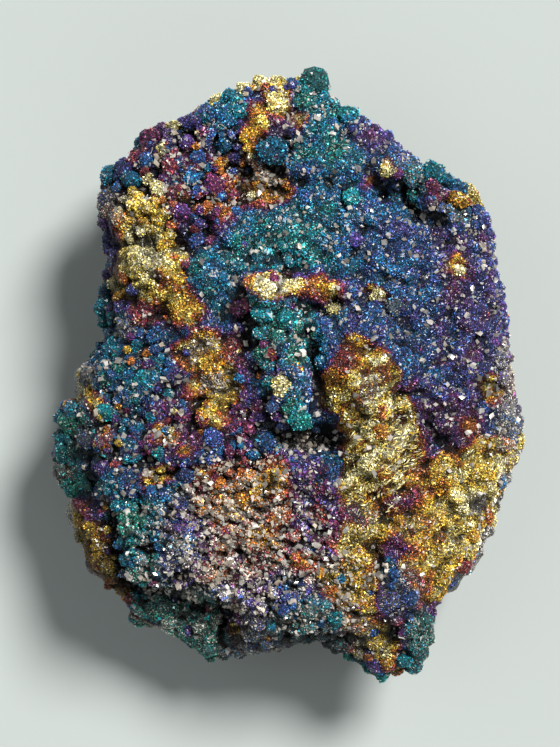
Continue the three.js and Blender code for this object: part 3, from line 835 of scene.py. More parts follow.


# The crust: the film picks the colour, tone brightens or darkens it, matrix turns it to rock. Small cells
# stand for crystals too small to model: each has its own shade and film, and painted shade darkens it
# towards the gaps at its edge while its middle is painted brighter.
def oreMaterial(name, cellScale, cellShare, grainScale, bumpDistance):
    material, tree, shader = newMaterial(name)
    cells = textureOf(tree, "ShaderNodeTexVoronoi", Scale=cellScale)
    parts = addNode(tree, "ShaderNodeSeparateColor")
    feed(tree, parts.inputs[0], cells.outputs["Color"])
    red, green, blue = parts.outputs
    fromMiddle = cells.outputs["Distance"]
    grain = textureOf(tree, "ShaderNodeTexNoise", Scale=grainScale, **oreFinish["grainDetail"])
    grain = grain.outputs["Fac"]
    ownFilm = sumOf(tree, "SUBTRACT", green, red)
    level = attributeOf(tree, "film")
    level = sumOf(tree, "MULTIPLY_ADD", ownFilm, oreFinish["cellFilm"] * cellShare, level)
    centred = sumOf(tree, "SUBTRACT", grain, 0.5)
    level = sumOf(tree, "MULTIPLY_ADD", centred, oreFinish["grainFilm"], level)
    bare = attributeOf(tree, "matrix")
    colour = rampOf(tree, oreFinish["colours"], level)
    mixed = mixColour(tree, bare, colour, rampOf(tree, oreFinish["rock"], grain))
    # painted shade in the gaps between the cells, painted light in their middles
    middleTone, fall = oreFinish["gapShadeTone"]
    gap = sumOf(tree, "MULTIPLY_ADD", fromMiddle, -fall * cellShare, mix(1, middleTone, cellShare))
    own = sumOf(tree, "SUBTRACT", red, 0.5)
    own = sumOf(tree, "MULTIPLY_ADD", own, oreFinish["cellTone"] * cellShare, gap)
    own = sumOf(tree, "MAXIMUM", own, oreFinish["least"])
    tone = sumOf(tree, "MULTIPLY", attributeOf(tree, "tone"), own)
    feed(tree, shader.inputs["Base Color"], toned(tree, mixed, tone))
    metallic = oreFinish["metallic"]
    feed(tree, shader.inputs["Metallic"], sumOf(tree, "MULTIPLY_ADD", bare, -metallic, metallic))
    low, high = oreFinish["rough"]
    start = low + oreFinish["cellRough"] * cellShare
    feed(tree, shader.inputs["Roughness"], sumOf(tree, "MULTIPLY_ADD", grain, high - low, start))
    dome = sumOf(tree, "MULTIPLY", fromMiddle, -oreFinish["cellDome"])
    tilt = sumOf(tree, "MULTIPLY_ADD", blue, oreFinish["cellTilt"], dome)
    bump = addNode(tree, "ShaderNodeBump")
    feed(tree, bump.inputs["Strength"], oreFinish["bump"])
    feed(tree, bump.inputs["Distance"], bumpDistance)
    feed(tree, bump.inputs["Height"], sumOf(tree, "MULTIPLY_ADD", tilt, cellShare, grain))
    feed(tree, shader.inputs["Normal"], bump.outputs["Normal"])
    setGloss(shader, oreFinish["gloss"])
    return material


paleFinish = {
    "cloud": {"Scale": 900.0, "Detail": 3.0, "Roughness": 0.6},
    "grey": [(0.3, (0.52, 0.49, 0.45)), (0.7, (0.84, 0.83, 0.81))],
    "beige": [(0.3, (0.46, 0.34, 0.22)), (0.7, (0.86, 0.77, 0.64))],
    "gloss": {"Roughness": 0.22, "Coat Weight": 0.4, "Coat Roughness": 0.1},
}


# Off-white crystal: clouds of grey or of beige, as warm picks, times tone.
def paleMaterial(name):
    material, tree, shader = newMaterial(name)
    cloud = textureOf(tree, "ShaderNodeTexNoise", **paleFinish["cloud"]).outputs["Fac"]
    grey, beige = (rampOf(tree, paleFinish[key], cloud) for key in ("grey", "beige"))
    colour = mixColour(tree, attributeOf(tree, "warm"), grey, beige)
    feed(tree, shader.inputs["Base Color"], toned(tree, colour, attributeOf(tree, "tone")))
    setGloss(shader, paleFinish["gloss"])
    return material


stoneMaterial = oreMaterial("tarnishedCrust", *oreFinish["crust"])
crystalMaterial = oreMaterial("tarnishedCrystal", *oreFinish["crystal"])
paleCrystalMaterial = paleMaterial("paleCrystal")
print("materials made")

# The stone

relief = {
    "lumpCell": 2.7,  # spacing of the round lumps of the crust
    "lumpWidth": 0.78,  # in cells
    "lumpMiddle": 0.55,
    "lumpRise": 1.15,
    "flankLumps": 0.8,
    "swellCell": 6.5,  # larger swells under the lumps
    "swellRise": 0.8,
    "budCell": 1.35,  # smaller buds on the lumps
    "budWidth": 0.75,
    "budRise": 0.36,
    # painted shade: darker on the low ground between the buds
    "budShadeTone": (0.65, 1.6),
    "grainCell": 0.9,
    "grainRise": 0.16,
    # painted shade: the gaps between lumps are darkened, where shadow falls
    "gapShadeTone": 0.05,  # tone in the gaps between lumps
    "gapWidth": (1.35, 0.05),
    "gapShadeShare": 1.6,
    "breakCell": 7.0,  # uneven breaks of the back
    "breakRise": 1.6,
    "breakLayers": (1.0, 0.55, 0.32, 0.2),  # sharp folds of the breaks, each half as long as the last
    "foldSharp": 3,
    "foldShare": 0.5,
    "facetShare": 0.3,
    "foot": (0.7, 5.0, 0.25),  # of the flat spot: rise, reach and middle
    "rockTone": (0.78, 0.4, 6.0),  # of the broken rock: middle, spread and size of its parts
    "rockLimits": (0.35, 1.1),
    # painted shade: the skin under the grains is kept dark, for shadow in the gaps between the crystals,
    # and less dark in gold
    "skinTone": (0.22, 0.2),  # of the skin under the grains, and how much more where it is gold
    "goldEnd": (1.5, 5),  # how gold a film is: the first less the second times the film
    # where up the flank the crust ends, how soft that is, how far it wanders and the reach
    "crustEnd": (0.22, 0.16, 0.14, 9.0),
    "frontEnd": (0.1, 0.3),  # how far below the front's edge its colours end, and how soft
}

# the grid's square is bent to a disc, which the outline then stretches
gridPoints, quads, topCount = boxGrid(*stone["cells"])
a, b, c = gridPoints.T
u, v = a * np.sqrt(1 - b * b / 2), b * np.sqrt(1 - a * a / 2)
direction = np.arctan2(v, u)
share = np.minimum(1, np.hypot(u, v))
isTop, isBack = c == 1, c == -1


# One value on the front, one on the back and one on the flank.
def byPart(front, back, flank):
    return np.where(isTop, front, np.where(isBack, back, flank))


lowest = lowestLevel(direction)
level = byPart(1.0, lowest, lowest + (1 - lowest) * (c + 1) / 2)
reach, height, _ = flankAt(direction, level)
x, y = outAlong(direction, share * reach)
z = byPart(roundedFrontAt(x, y), backAt(x, y), height)
basePoints = np.column_stack([x, y, z])
baseNormals = pointNormals(basePoints, quads)

climb = byPart(1, 0, (c + 1) / 2)
end, softness, far, bend = relief["crustEnd"]
crust = smooth((climb - end - far * roughness(basePoints, bend, 3, 40)) / softness)
below, softness = relief["frontEnd"]
onFront = byPart(1, 0, smooth((level + below) / softness))

lumpSeed, _ = nearestSeeds(basePoints, relief["lumpCell"], 0)
lump = np.sqrt(np.clip(1 - (lumpSeed / relief["lumpWidth"]) ** 2, 0, 1))
budSeed, _ = nearestSeeds(basePoints, relief["budCell"], 1)
bud = np.clip(1 - (budSeed / relief["budWidth"]) ** 2, 0, 1)
lumpShare = layZones(*warped(x, y, 2), lumpiness["zones"], lumpiness["start"], lumpiness["soft"])
lumpShare = np.where(isTop, lumpShare, mix(relief["flankLumps"], lumpShare, onFront))
ledge, ledgeWeight = ledgeAt(x, y)
ledgeWeight = ledgeWeight * onFront
rise = relief["lumpRise"] * lumpShare * (lump - relief["lumpMiddle"])
rise = rise * (1 - terraces["calm"] * ledgeWeight)
rise = rise + relief["swellRise"] * lumpShare * roughness(basePoints, relief["swellCell"], 2, 44)
rise = rise + relief["budRise"] * (bud - 0.5)
rise = rise + relief["grainRise"] * noise(basePoints, relief["grainCell"], 30)
rise = rise + terraces["drop"] * ledgeWeight * (ledge ** terraces["curve"] - terraces["middle"])
rise = rise - creaseAt(x, y)[0] * onFront + film["streaks"]["rise"] * streakAt(basePoints) * onFront
_, facetMark = nearestSeeds(basePoints, relief["breakCell"], 2)
folded = 0
for k, part in enumerate(relief["breakLayers"]):
    fold = abs(noise(basePoints, relief["breakCell"] / 2**k, 33 + k))
    folded = folded + part * (1 - relief["foldSharp"] * fold)
rough = relief["breakRise"] * (relief["foldShare"] * folded + relief["facetShare"] * facetMark)
footRise, footCell, footMiddle = relief["foot"]
foot = footRise * (roughness(basePoints, footCell, 4, 36) - footMiddle)
onFlatSpot = isBack & (z < 0.01)
rough = np.where(onFlatSpot, np.minimum(foot, 0), rough)
stonePoints = basePoints + baseNormals * (rise * crust + rough * (1 - crust))[:, None]
stonePoints[:, 2] = np.maximum(stonePoints[:, 2], 0)
stoneNormals = pointNormals(stonePoints, quads)

filmLevel, bare, dark = finishAt(basePoints, crust, onFront)
# Painted shade: darker in the gaps between lumps, between the buds and at the foot of each ledge.
width, edge = relief["gapWidth"]
gapShadeShare = (1 - smooth(width * lump - edge)) * np.minimum(1, relief["gapShadeShare"] * lumpShare)
gaps = mix(1, relief["gapShadeTone"], gapShadeShare)
budLow, budSharp = relief["budShadeTone"]
gaps = gaps * mix(budLow, 1, smooth(budSharp * bud))
gaps = gaps * mix(1, terraces["footShadowTone"], ledgeWeight * (1 - smooth(terraces["footSharp"] * ledge)))
print("stone worked out", len(stonePoints), "points")

# Knobs grown on the crust

knobs = {
    # place as the front is looked at, radius, and place in the tarnish row (-1: as around)
    "named": [
        (-36, 40, 1.9, -1), (-33, 41, 1.7, -1), (-30, 43, 1.7, -1), (-27.5, 47, 2.2, 0.5),
        (-25, 48.5, 1.7, -1), (-22.5, 49, 1.7, 0.03), (-19.5, 50, 1.5, -1), (-16.5, 52, 1.7, -1),
        (-14, 54.5, 1.8, 0.05), (-11.5, 55, 1.8, -1), (-9, 57, 1.9, 0.03), (-5.5, 58, 1.7, 0.05),
        (-2.5, 58.5, 1.5, 0.06), (2, 59.5, 1.3, 0.04), (5.4, 61.2, 3.1, -1), (12, 53.2, 2.2, 0.9),
        (15, 51, 1.3, -1), (17.5, 50, 1.3, -1), (19.5, 47.5, 1.5, -1), (21.5, 45, 1.3, -1),
        (24.5, 42.5, 1.5, -1), (29.7, 42.2, 2.7, 0.87), (31.5, 40, 1.7, -1), (35.5, 37, 1.9, 0.08),
        (37, 35.5, 1.7, 0.1), (39, 31, 1.5, -1), (39.5, 28, 1.5, -1), (41.5, 16, 1.2, -1),
        (43, 12.2, 1.6, -1), (43, 8.5, 1.2, -1), (44, 4, 1.3, -1), (44.5, -0.5, 1.3, -1),
        (45, -7, 1.3, -1), (46.2, -13.4, 1.6, 0.08), (43.5, -21, 1.2, -1), (40.5, -29, 1.5, -1),
        (37.5, -36, 1.3, -1), (27.5, -51, 1.5, -1), (26.5, -55, 1.6, -1), (25, -58, 2, -1),
        (21.5, -59.5, 1.5, -1), (19, -60.4, 1.7, -1), (16.5, -59.3, 1.6, -1), (12.5, -57.5, 1.5, -1),
        (9.5, -55.5, 1.5, -1), (-7, -54.5, 1.4, -1), (-10, -56, 1.7, -1), (-13.5, -56.5, 1.4, -1),
        (-16.5, -57, 1.5, -1), (-28, -49.5, 1.4, -1), (-31, -49.3, 1.5, -1), (-43.5, -22.5, 1.7, -1),
        (-45.5, -19, 1.8, -1), (-45, -15.5, 1.9, -1), (-45, -12.5, 1.9, -1), (-44, -9.5, 2, -1),
        (-43, -7, 1.7, -1), (-37.5, 11.5, 1.8, 0.88), (-37.5, 14, 2.3, 0.85), (-36, 17, 1.7, -1),
        (-36.5, 20.5, 1.6, -1), (-36.5, 26, 1.5, -1), (-36.8, 32, 1.4, -1), (-36.3, 35.5, 1.7, -1),
        (-3.4, 44.2, 2.9, 0.8), (-12, 50.5, 1.7, -1), (-16.5, 51, 1.6, 0.84), (-28, 42.5, 1.7, 0.72),
        (-25.5, 36.5, 2, 0.01), (-21.2, 32.2, 1.8, 0.56), (-15, 37.4, 2.3, 0.5), (-11, 35.5, 1.5, 0.46),
        (-18, 26.2, 1.8, 0.68), (-17.8, 43.2, 1.8, 0.7), (-23.4, 41, 1.7, 0.44), (-31, 38.8, 1.8, 0.8),
        (-20, 46.2, 1.6, 0.6), (-13, 45.4, 1.7, 0.78), (-24.8, 44.6, 1.6, 0.02),
        (-9.5, 52.6, 1.7, 0.86), (-19.5, 38.6, 1.7, -1), (-2.5, 53.4, 2.1, 0.06), (-5, 50.2, 1.7, 0.1),
        (-27.4, 38.9, 1.5, 0.04), (12.3, 35, 1.9, 0.9), (19, 40.5, 1.5, 0.05), (24, 39.5, 1.9, -1),
        (25, 35.5, 1.7, 0.92), (28, 37, 1.7, 0.48), (33, 34.5, 1.7, 0.2), (-1.2, -1.8, 2.4, 0.03),
        (-8.3, 14, 1.3, 0.47), (-5, 12, 1.9, 0.88), (-1, 11.5, 1.7, 0.9), (2, -8.5, 2.1, 0.93),
        (-29, -0.5, 2, 0.87), (-24, -3.5, 1.7, 0.88), (-35, 4.5, 1.7, -1), (-4.5, -13, 2.1, 0.74),
        (-15, -12, 1.8, 0.68), (-32, -30, 1.7, -1), (-30.8, -15.8, 1.6, 0.84), (-25.2, -14.8, 1.6, 0.9),
        (-36, -7, 1.6, 0.9), (-21, -8, 1.6, 0.5), (-36.5, -18, 1.7, -1), (-27, -22.5, 1.6, -1),
        (-33.5, -25, 1.6, -1), (-20.5, -19.5, 1.7, -1), (4, -46.5, 1.7, -1), (9, -48, 1.9, 0.88),
        (21, -39, 1.9, 0.72), (23.5, -43, 1.9, 0.7), (20.4, 13.4, 2.1, -1), (17.4, 16.2, 1.4, 0.03),
        (-9.2, 13.6, 2.0, 0.5), (12.5, 26.5, 1.7, 0.62), (33.0, 20.6, 1.4, 0.03),
        (8.8, 13.0, 1.5, 0.04), (16.6, 15.4, 1.1, 0.03),
    ],
    "sink": 0.35,
    "rimSink": 0.5,
    "proud": 3.0,  # knobs of this radius or more stand on the rim and aren't sunk in it
    "bite": 0.6,
    "standOff": 0.25,
    "gridRange": ((-46, 47), (-60, 60)),
    "gridSpacing": 2.15,  # of the smaller knobs between the named ones
    "gridShift": 0.42,  # how far they stand off the grid, in spacings
    "gridEdge": 0.5,
    "gridShare": (0.3, 1.5),  # lumpiness from which they grow, and how fast their share rises
    "apart": 0.75,
    "mostCrack": 0.4,
    "smallRadius": (0.6, 1.3),
    "rimSpacing": 2.6,
    "rimReach": 50,  # rough radius of the rim, for that spacing
    "rimShift": 0.01,
    "rimRadius": (0.8, 1.7),
    "onFlank": 380,
    "flankRadius": (0.9, 2.0),
    "flankRange": (0.35, 0.9),
    "flankLift": 0.3,
    "aroundCells": 12,
    "upCells": 7,
    "swell": 0.24,
    "swellCell": 1.0,
    "tone": 0.4,
    "drawn": 0.4,  # how far a knob is drawn out of round
    "drawnMiddle": 0.33,  # taken off, so that a drawn knob keeps its size
    "roundFrom": 1.4,  # radius from which on knobs are rounder
    # painted shade: a knob darkens towards its foot
    "footShadowTone": 0.3,
    "footEdge": (0.55, 0.75),
    "ownStart": 0.15,
    "ownSoft": 4.0,
    # share of the small knobs that has a colour of its own, and those colours
    "own": [
        (180, 165, 84, 72, 0, 0.85), (120, 400, 60, 80, 0, 0.6), (282, 355, 36, 66, 0, 0.4),
        (252, 140, 15, 34, 8, 0.1), (142, 232, 44, 46, 0, 0), (150, 280, 46, 44, 0, 0.02),
        (440, 190, 50, 30, -30, 0.5), (260, 90, 60, 24, 20, 0.5), (190, 450, 80, 40, 0, 0.5),
        (330, 620, 90, 50, 0, 0.35), (285, 290, 42, 14, 0, 0), (452, 520, 84, 104, 0, 0),
        (376, 430, 48, 64, 0, 0), (235, 530, 96, 80, 0, 0.03), (212, 374, 30, 46, 0, 0.06),
        (400, 590, 22, 50, 0, 0.2), (94, 560, 20, 64, 22, 0.1),
    ],
    "ownFilms": (0.03, 0.14, 0.28, 0.42, 0.48, 0.52, 0.56, 0.6, 0.64, 0.68, 0.72, 0.76, 0.8, 0.85),
}


# Middle of a knob: sunk in the front, or past the front's edge set into the flank.
def knobMiddles(x, y, radius):
    direction = np.arctan2(y, x)
    rim = rimReach(direction) - knobs["rimSink"] * radius * (radius < knobs["proud"])
    out = np.minimum(np.hypot(x, y), rim)
    inside = out < rimReach(direction) - insetAt(direction)
    flank = (rim - out + knobs["bite"] * radius) / insetAt(direction)
    level = np.minimum(1, flank) ** (1 / stone["flankPower"])
    z = np.where(inside, roundedFrontAt(x, y), flankAt(direction, level)[1])
    scale = out / np.maximum(np.hypot(x, y), 1e-6)
    return np.column_stack([x * scale, y * scale, z - knobs["sink"] * radius])


named = np.array(knobs["named"])
spacing, shift = knobs["gridSpacing"], knobs["gridShift"]
gx, gy = np.meshgrid(*(np.arange(*ends, spacing) for ends in knobs["gridRange"]))
gx = gx.ravel() + rng.uniform(-shift, shift, gx.size) * spacing
gy = gy.ravel() + rng.uniform(-shift, shift, gy.size) * spacing
wanted = layZones(gx, gy, lumpiness["zones"], lumpiness["start"], lumpiness["soft"])
gr = rng.uniform(*knobs["smallRadius"], len(gx))
wantedFrom, wantedRise = knobs["gridShare"]
free = insideEdge(gx, gy) > knobs["gridEdge"]
free &= rng.random(len(gx)) < (wanted - wantedFrom) * wantedRise
gap = np.hypot(gx[:, None] - named[:, 0], gy[:, None] - named[:, 1])
free &= (gap > knobs["apart"] * (gr[:, None] + named[:, 2])).all(1)
free &= creaseAt(gx, gy)[1] < knobs["mostCrack"]
gx, gy, gr = gx[free], gy[free], gr[free]
own = rng.random(len(gx)) < layZones(gx, gy, knobs["own"], knobs["ownStart"], knobs["ownSoft"])
gridFilm = np.where(own, rng.choice(knobs["ownFilms"], len(gx)), -1.0)
rimTurns = np.arange(0, 2 * math.pi, knobs["rimSpacing"] / knobs["rimReach"])
rimTurns = rimTurns + rng.uniform(-knobs["rimShift"], knobs["rimShift"])
rr = rng.uniform(*knobs["rimRadius"], len(rimTurns))
rimOut = rimReach(rimTurns) - rng.uniform(0, 1, len(rimTurns)) * (insetAt(rimTurns) + 1)
rx, ry = outAlong(rimTurns, rimOut)
frontX = np.concatenate([named[:, 0], gx, rx])
frontY = np.concatenate([named[:, 1], gy, ry])
frontR = np.concatenate([named[:, 2], gr, rr])

# more knobs on the flank, down to where the crust ends
flankTurns = rng.uniform(-math.pi, math.pi, knobs["onFlank"])
flankR = rng.uniform(*knobs["flankRadius"], knobs["onFlank"])
flankLow = lowestLevel(flankTurns)
flankLevel = mix(flankLow, 1, rng.uniform(*knobs["flankRange"], knobs["onFlank"]))
flankReach, flankHeight, _ = flankAt(flankTurns, flankLevel)
flankReach = flankReach - knobs["rimSink"] * flankR
flankPlace = np.column_stack([*outAlong(flankTurns, flankReach), flankHeight])
knobR = np.concatenate([frontR, flankR])
knobPlace = np.concatenate([knobMiddles(frontX, frontY, frontR), flankPlace])
knobFilm = np.concatenate([named[:, 3], gridFilm, np.full(len(rx) + knobs["onFlank"], -1.0)])


# A knob that stands off the stone's skin is moved in until it is set in it.
def setIn(middles, radii, rounds=2, atOnce=64):
    moved = middles.copy()
    squares = (stonePoints**2).sum(1)
    for first in list(range(0, len(middles), atOnce)) * rounds:
        some = slice(first, first + atOnce)
        nearest = (squares[None] - 2 * moved[some] @ stonePoints.T).argmin(1)
        offset = moved[some] - stonePoints[nearest]
        far = np.linalg.norm(offset, axis=1)
        outside = (offset * stoneNormals[nearest]).sum(1) > 0
        most = knobs["standOff"] * radii[some]
        moves = (outside & (far > most)) | (far > 2 * radii[some])
        share = np.where(moves, most / np.maximum(far, 1e-6), 1)
        moved[some] = stonePoints[nearest] + offset * share[:, None]
    return moved


knobPlace = setIn(knobPlace, knobR)
knobCount = len(knobR)
isFlank = np.arange(knobCount) >= len(frontR)

# the way each knob grows: up on the front, out and up at the rim, out on the flank
knobTurn = np.arctan2(knobPlace[:, 1], knobPlace[:, 0])
nearRim = smooth(1 - insideEdge(knobPlace[:, 0], knobPlace[:, 1]))
lift = np.where(isFlank, knobs["flankLift"], 1.0)
knobUp = unit(np.column_stack([*outAlong(knobTurn, nearRim), lift]))

# a ball of rings between two poles: its directions and its faces
around, up = knobs["aroundCells"], knobs["upCells"]
turns = np.arange(around) * 2 * math.pi / around
rises = np.arange(1, up) * math.pi / up
ringDirections = np.stack(
    [
        np.outer(np.sin(rises), np.cos(turns)),
        np.outer(np.sin(rises), np.sin(turns)),
        np.outer(np.cos(rises), np.ones(around)),
    ],
    -1,
).reshape(-1, 3)
ballDirections = np.concatenate([ringDirections, [[0, 0, 1], [0, 0, -1]]])
ring = np.arange(around)
nextRing = np.roll(ring, -1)
ballFaces = []
for k in range(up - 2):
    low, high = (k + 1) * around, k * around
    ballFaces.append(np.column_stack([low + ring, low + nextRing, high + nextRing]))
    ballFaces.append(np.column_stack([low + ring, high + nextRing, high + ring]))
topPole, lowPole = (up - 1) * around, (up - 1) * around + 1
lastRing = (up - 2) * around
ballFaces.append(np.column_stack([ring, nextRing, np.full(around, topPole)]))
ballFaces.append(np.column_stack([lastRing + nextRing, lastRing + ring, np.full(around, lowPole)]))
ballFaces = np.concatenate(ballFaces)
ballSize = len(ballDirections)


# Skin of the knobs: a ball whose radius grows with the square of how far a direction goes
# the knob's own way, and swells by noise read at its place.
def knobSkin(middles, radii, directions, stretch):
    along = (directions * stretch[:, None, :]).sum(-1)
    raw = middles[:, None, :] + radii[:, None, None] * directions
    bump = knobs["swell"] * roughness(raw.reshape(-1, 3), knobs["swellCell"], 2, 50)
    drawn = knobs["drawn"] * np.minimum(1, knobs["roundFrom"] / radii)[:, None]
    size = 1 + drawn * (along**2 - knobs["drawnMiddle"]) + bump.reshape(along.shape)
    return middles[:, None, :] + radii[:, None, None] * directions * size[:, :, None]


knobStretch = unit(rng.normal(size=(knobCount, 3)))
knobPoints = knobSkin(knobPlace, knobR, ballDirections[None], knobStretch).reshape(-1, 3)
knobFaces = copiesOf(ballFaces, knobCount, ballSize)
below, softness = relief["frontEnd"]
knobFront = np.concatenate([np.ones(len(frontR)), smooth((flankLevel + below) / softness)])
middleFilm, middleBare, middleDark = finishAt(knobPlace, np.ones(knobCount), knobFront)
middleFilm = np.where(knobFilm >= 0, knobFilm, middleFilm)
middleBare = np.where(knobFilm >= 0, 0.0, middleBare)
print("knobs placed", knobCount)


# Painted shade and light by how open points of the front are: under 1 in a gap between knobs, where
# shadow falls, and over 1 on the top of one, where light falls. The highest point in each cell of a grid
# is spread over its neighbours, and a point is compared with what lies on the grid at its place.
paintedShadeAndTopLight = {
    "cell": 0.5,
    "half": 70,  # millimetres from the middle of the grid to its side
    "spread": 3,  # cells that a height is spread over, each way
    "rounds": 2,
    "deep": 1.0,  # how far below the spread heights it is darkest
    "darkest": 0.12,
    "high": 0.9,  # and how far above them it is brightest
    "brightest": 1.3,
    "rim": 1.5,  # how far inside the front's edge this starts
}
gridHalf = round(paintedShadeAndTopLight["half"] / paintedShadeAndTopLight["cell"])


# Sum of each cell and its neighbours along both axes, a few times over.
def spreadOut(grid):
    reach = paintedShadeAndTopLight["spread"]
    for axis in (0, 1) * paintedShadeAndTopLight["rounds"]:
        grid = sum(np.roll(grid, k, axis) for k in range(-reach, reach + 1))
    return grid


def gridCell(p):
    return tuple(np.floor(p[:, :2] / paintedShadeAndTopLight["cell"]).astype(int).T + gridHalf)


heightGrid = np.full((gridHalf * 2, gridHalf * 2), -1.0)
for some in (stonePoints[isTop], knobPoints):
    np.maximum.at(heightGrid, gridCell(some), some[:, 2])
covered = heightGrid > 0
coverage = np.maximum(spreadOut(covered.astype(float)), 1)
heightGrid = spreadOut(np.where(covered, heightGrid, 0)) / coverage


# Painted shade of a step down from the spread heights times painted light of a step up, on the front.
def paintedShadeAndTopLightAt(p):
    below = heightGrid[gridCell(p)] - p[:, 2]
    low = mix(1, paintedShadeAndTopLight["darkest"], smooth(below / paintedShadeAndTopLight["deep"]))
    high = mix(1, paintedShadeAndTopLight["brightest"], smooth(-below / paintedShadeAndTopLight["high"]))
    return mix(1, low * high, smooth(insideEdge(p[:, 0], p[:, 1]) / paintedShadeAndTopLight["rim"] + 0.5))


# How far a film is gold: 1 for bare brass and gold, and 0 past orange.
def goldShareOf(level):
    start, slope = relief["goldEnd"]
    return smooth(start - slope * level)


# the dark skin is painted shade between the crystals
skinTone, skinGold = relief["skinTone"]
skinTone = skinTone + skinGold * goldShareOf(filmLevel)
rockTone, spread, reach = relief["rockTone"]
rockTone = np.clip(rockTone + spread * roughness(basePoints, reach, 3, 95), *relief["rockLimits"])
# Painted shade and light: the darkened gaps, the hollows' painted shade and the tops' painted light go
# into the stone's tone.
tone = mix(rockTone, skinTone * dark * gaps * paintedShadeAndTopLightAt(stonePoints), crust)
stoneValues = {"film": filmLevel, "matrix": bare, "tone": tone}
stonePiece = addMesh("ore_stone", stonePoints, quads, stoneValues, stoneMaterial)


# Painted shade on a knob's skin: darker towards its foot, where shadow gathers.
def paintedFootShadow(directions, ups):
    start, slope = knobs["footEdge"]
    return mix(knobs["footShadowTone"], 1, smooth(start + slope * (directions * ups).sum(-1)))


knobFootShadow = paintedFootShadow(ballDirections[None], knobUp[:, None, :])
knobValues = {
    "film": np.repeat(middleFilm, ballSize),
    "matrix": np.repeat(middleBare, ballSize),
    # painted shade at the foot and in the hollows, with painted light on the tops
    "tone": (middleDark[:, None] * knobFootShadow * knobs["tone"]).ravel() * paintedShadeAndTopLightAt(knobPoints),
}
knobPiece = addMesh("ore_knobs", knobPoints, knobFaces, knobValues, stoneMaterial)

# Druse: small crystals over the crust

druse = {
    "radius": 0.21,  # of the ball around a crystal of middling size
    "spread": 0.3,
    "perFace": 2.3,  # crystals per cell of the front
    "front": (94, 121, 0.78),  # its width, its length and how much of that box it fills
    "areaLimits": (0.2, 2.2),
    "flankShare": 0.6,
    "onKnobs": 5.2,  # crystals per square millimetre of knob
    "knobScatter": 0.08,
    "lowestOnKnob": -0.25,
    "tone": (0.6, 0.6),  # middle and spread of a crystal's own shade
    "brightest": 2.4,
    "palerFilm": (5, 1),  # but not in gold: the first times the film less the second
    # partly painted glint: the brightest crystals are made greyer, like white highlights, and partly pale
    # grains
    "paleGrainAndGlint": (0.7, 0.9, 0.7),  # bright crystals are greyer: from which shade on, how fast and how far
    "goldEven": 0.35,  # crystals in gold are more alike
    "goldDrift": (0.035, 0.25),  # dark crystals are browner and bright ones paler, in this gold
    "filmSpread": 0.035,
    "strays": 0.06,  # share of crystals well off the colour around them
    "strayFilm": 0.13,
    "sink": 0.3,
    "stretch": (0.75, 1.3),
    "bands": (-18, 14),  # the crust's crystals are three pieces, parted at these places
}


# Turns by unit quaternions that point any way with the same chance.
def randomTurns(count):
    w, i, j, k = unit(rng.normal(size=(count, 4))).T
    return np.stack(
        [
            np.stack([1 - 2 * (j * j + k * k), 2 * (i * j - k * w), 2 * (i * k + j * w)], -1),
            np.stack([2 * (i * j + k * w), 1 - 2 * (i * i + k * k), 2 * (j * k - i * w)], -1),
            np.stack([2 * (i * k - j * w), 2 * (j * k + i * w), 1 - 2 * (i * i + j * j)], -1),
        ],
        1,
    )


# Points of many small solids, one template turned, sized and bent out of true for each place.
def scatter(template, places, sizes, uneven=0.0):
    shaped = template[None] * rng.uniform(*druse["stretch"], (len(places), 1, 3))
    shaped = shaped + rng.uniform(-uneven, uneven, (len(places), *template.shape))
    shaped = np.einsum("nij,nkj->nki", randomTurns(len(places)), shaped)
    return (places[:, None, :] + shaped * sizes[:, None, None]).reshape(-1, 3)


# Quads of the stone, each as often as it is wanted, rounded up or down by chance.
def drawQuads(wanted):
    count = np.floor(wanted + rng.random(len(wanted))).astype(int)
    return np.repeat(np.arange(len(quads)), count)


# Places on the quads of the stone: a random point inside each chosen quad.
def placesOn(chosen):
    s, t = rng.random((2, len(chosen), 1))
    corners = [stonePoints[quads[chosen, k]] for k in range(4)]
    low = (1 - s) * corners[0] + s * corners[1]
    high = (1 - s) * corners[3] + s * corners[2]
    ups = sum(stoneNormals[quads[chosen, k]] for k in range(4))
    return (1 - t) * low + t * high, unit(ups)


pyramid = np.array([[1, 1, 1], [1, -1, -1], [-1, 1, -1], [-1, -1, 1]]) / math.sqrt(3)
pyramidFaces = np.array([[0, 1, 2], [0, 2, 3], [0, 3, 1], [1, 3, 2]])
cornerCount = len(pyramid)

quadCrust = crust[quads].mean(1)
quadArea = 0.5 * np.linalg.norm(quadCross(stonePoints, quads), axis=1)
frontWidth, frontLength, fill = druse["front"]
cellArea = frontWidth * frontLength * fill / topCount
wanted = druse["perFace"] * np.clip(quadArea / cellArea, *druse["areaLimits"]) * quadCrust
wanted = wanted * np.where(np.arange(len(quads)) < topCount, 1, druse["flankShare"])
chosen = drawQuads(wanted)
places, ups = placesOn(chosen)
onStone = len(places)
chosenPoint = quads[chosen, 0]
# painted shade: the crystals on the crust take the darkened gaps below them
stoneDark = dark[chosenPoint] * gaps[chosenPoint]

# on a knob they spread evenly, each turned by the golden angle from the one before
perKnob = np.round(druse["onKnobs"] * 4 * math.pi * knobR**2).astype(int)
owner = np.repeat(np.arange(knobCount), perKnob)
order = np.arange(len(owner)) - np.repeat(np.cumsum(perKnob) - perKnob, perKnob)
ballHeight = 1 - 2 * (order + 0.5) / perKnob[owner]
swing = order * math.pi * (3 - math.sqrt(5)) + owner
outward = np.column_stack([*outAlong(swing, np.sqrt(1 - ballHeight * ballHeight)), ballHeight])
outward = unit(outward + rng.normal(0, druse["knobScatter"], outward.shape))
skin = knobSkin(knobPlace[owner], knobR[owner], outward[:, None, :], knobStretch[owner])[:, 0]
shown = (outward * knobUp[owner]).sum(1) > druse["lowestOnKnob"]
skin, outward, owner = skin[shown], outward[shown], owner[shown]
# the crystals on a knob take its painted foot shadow
knobDark = middleDark[owner] * paintedFootShadow(outward, knobUp[owner])

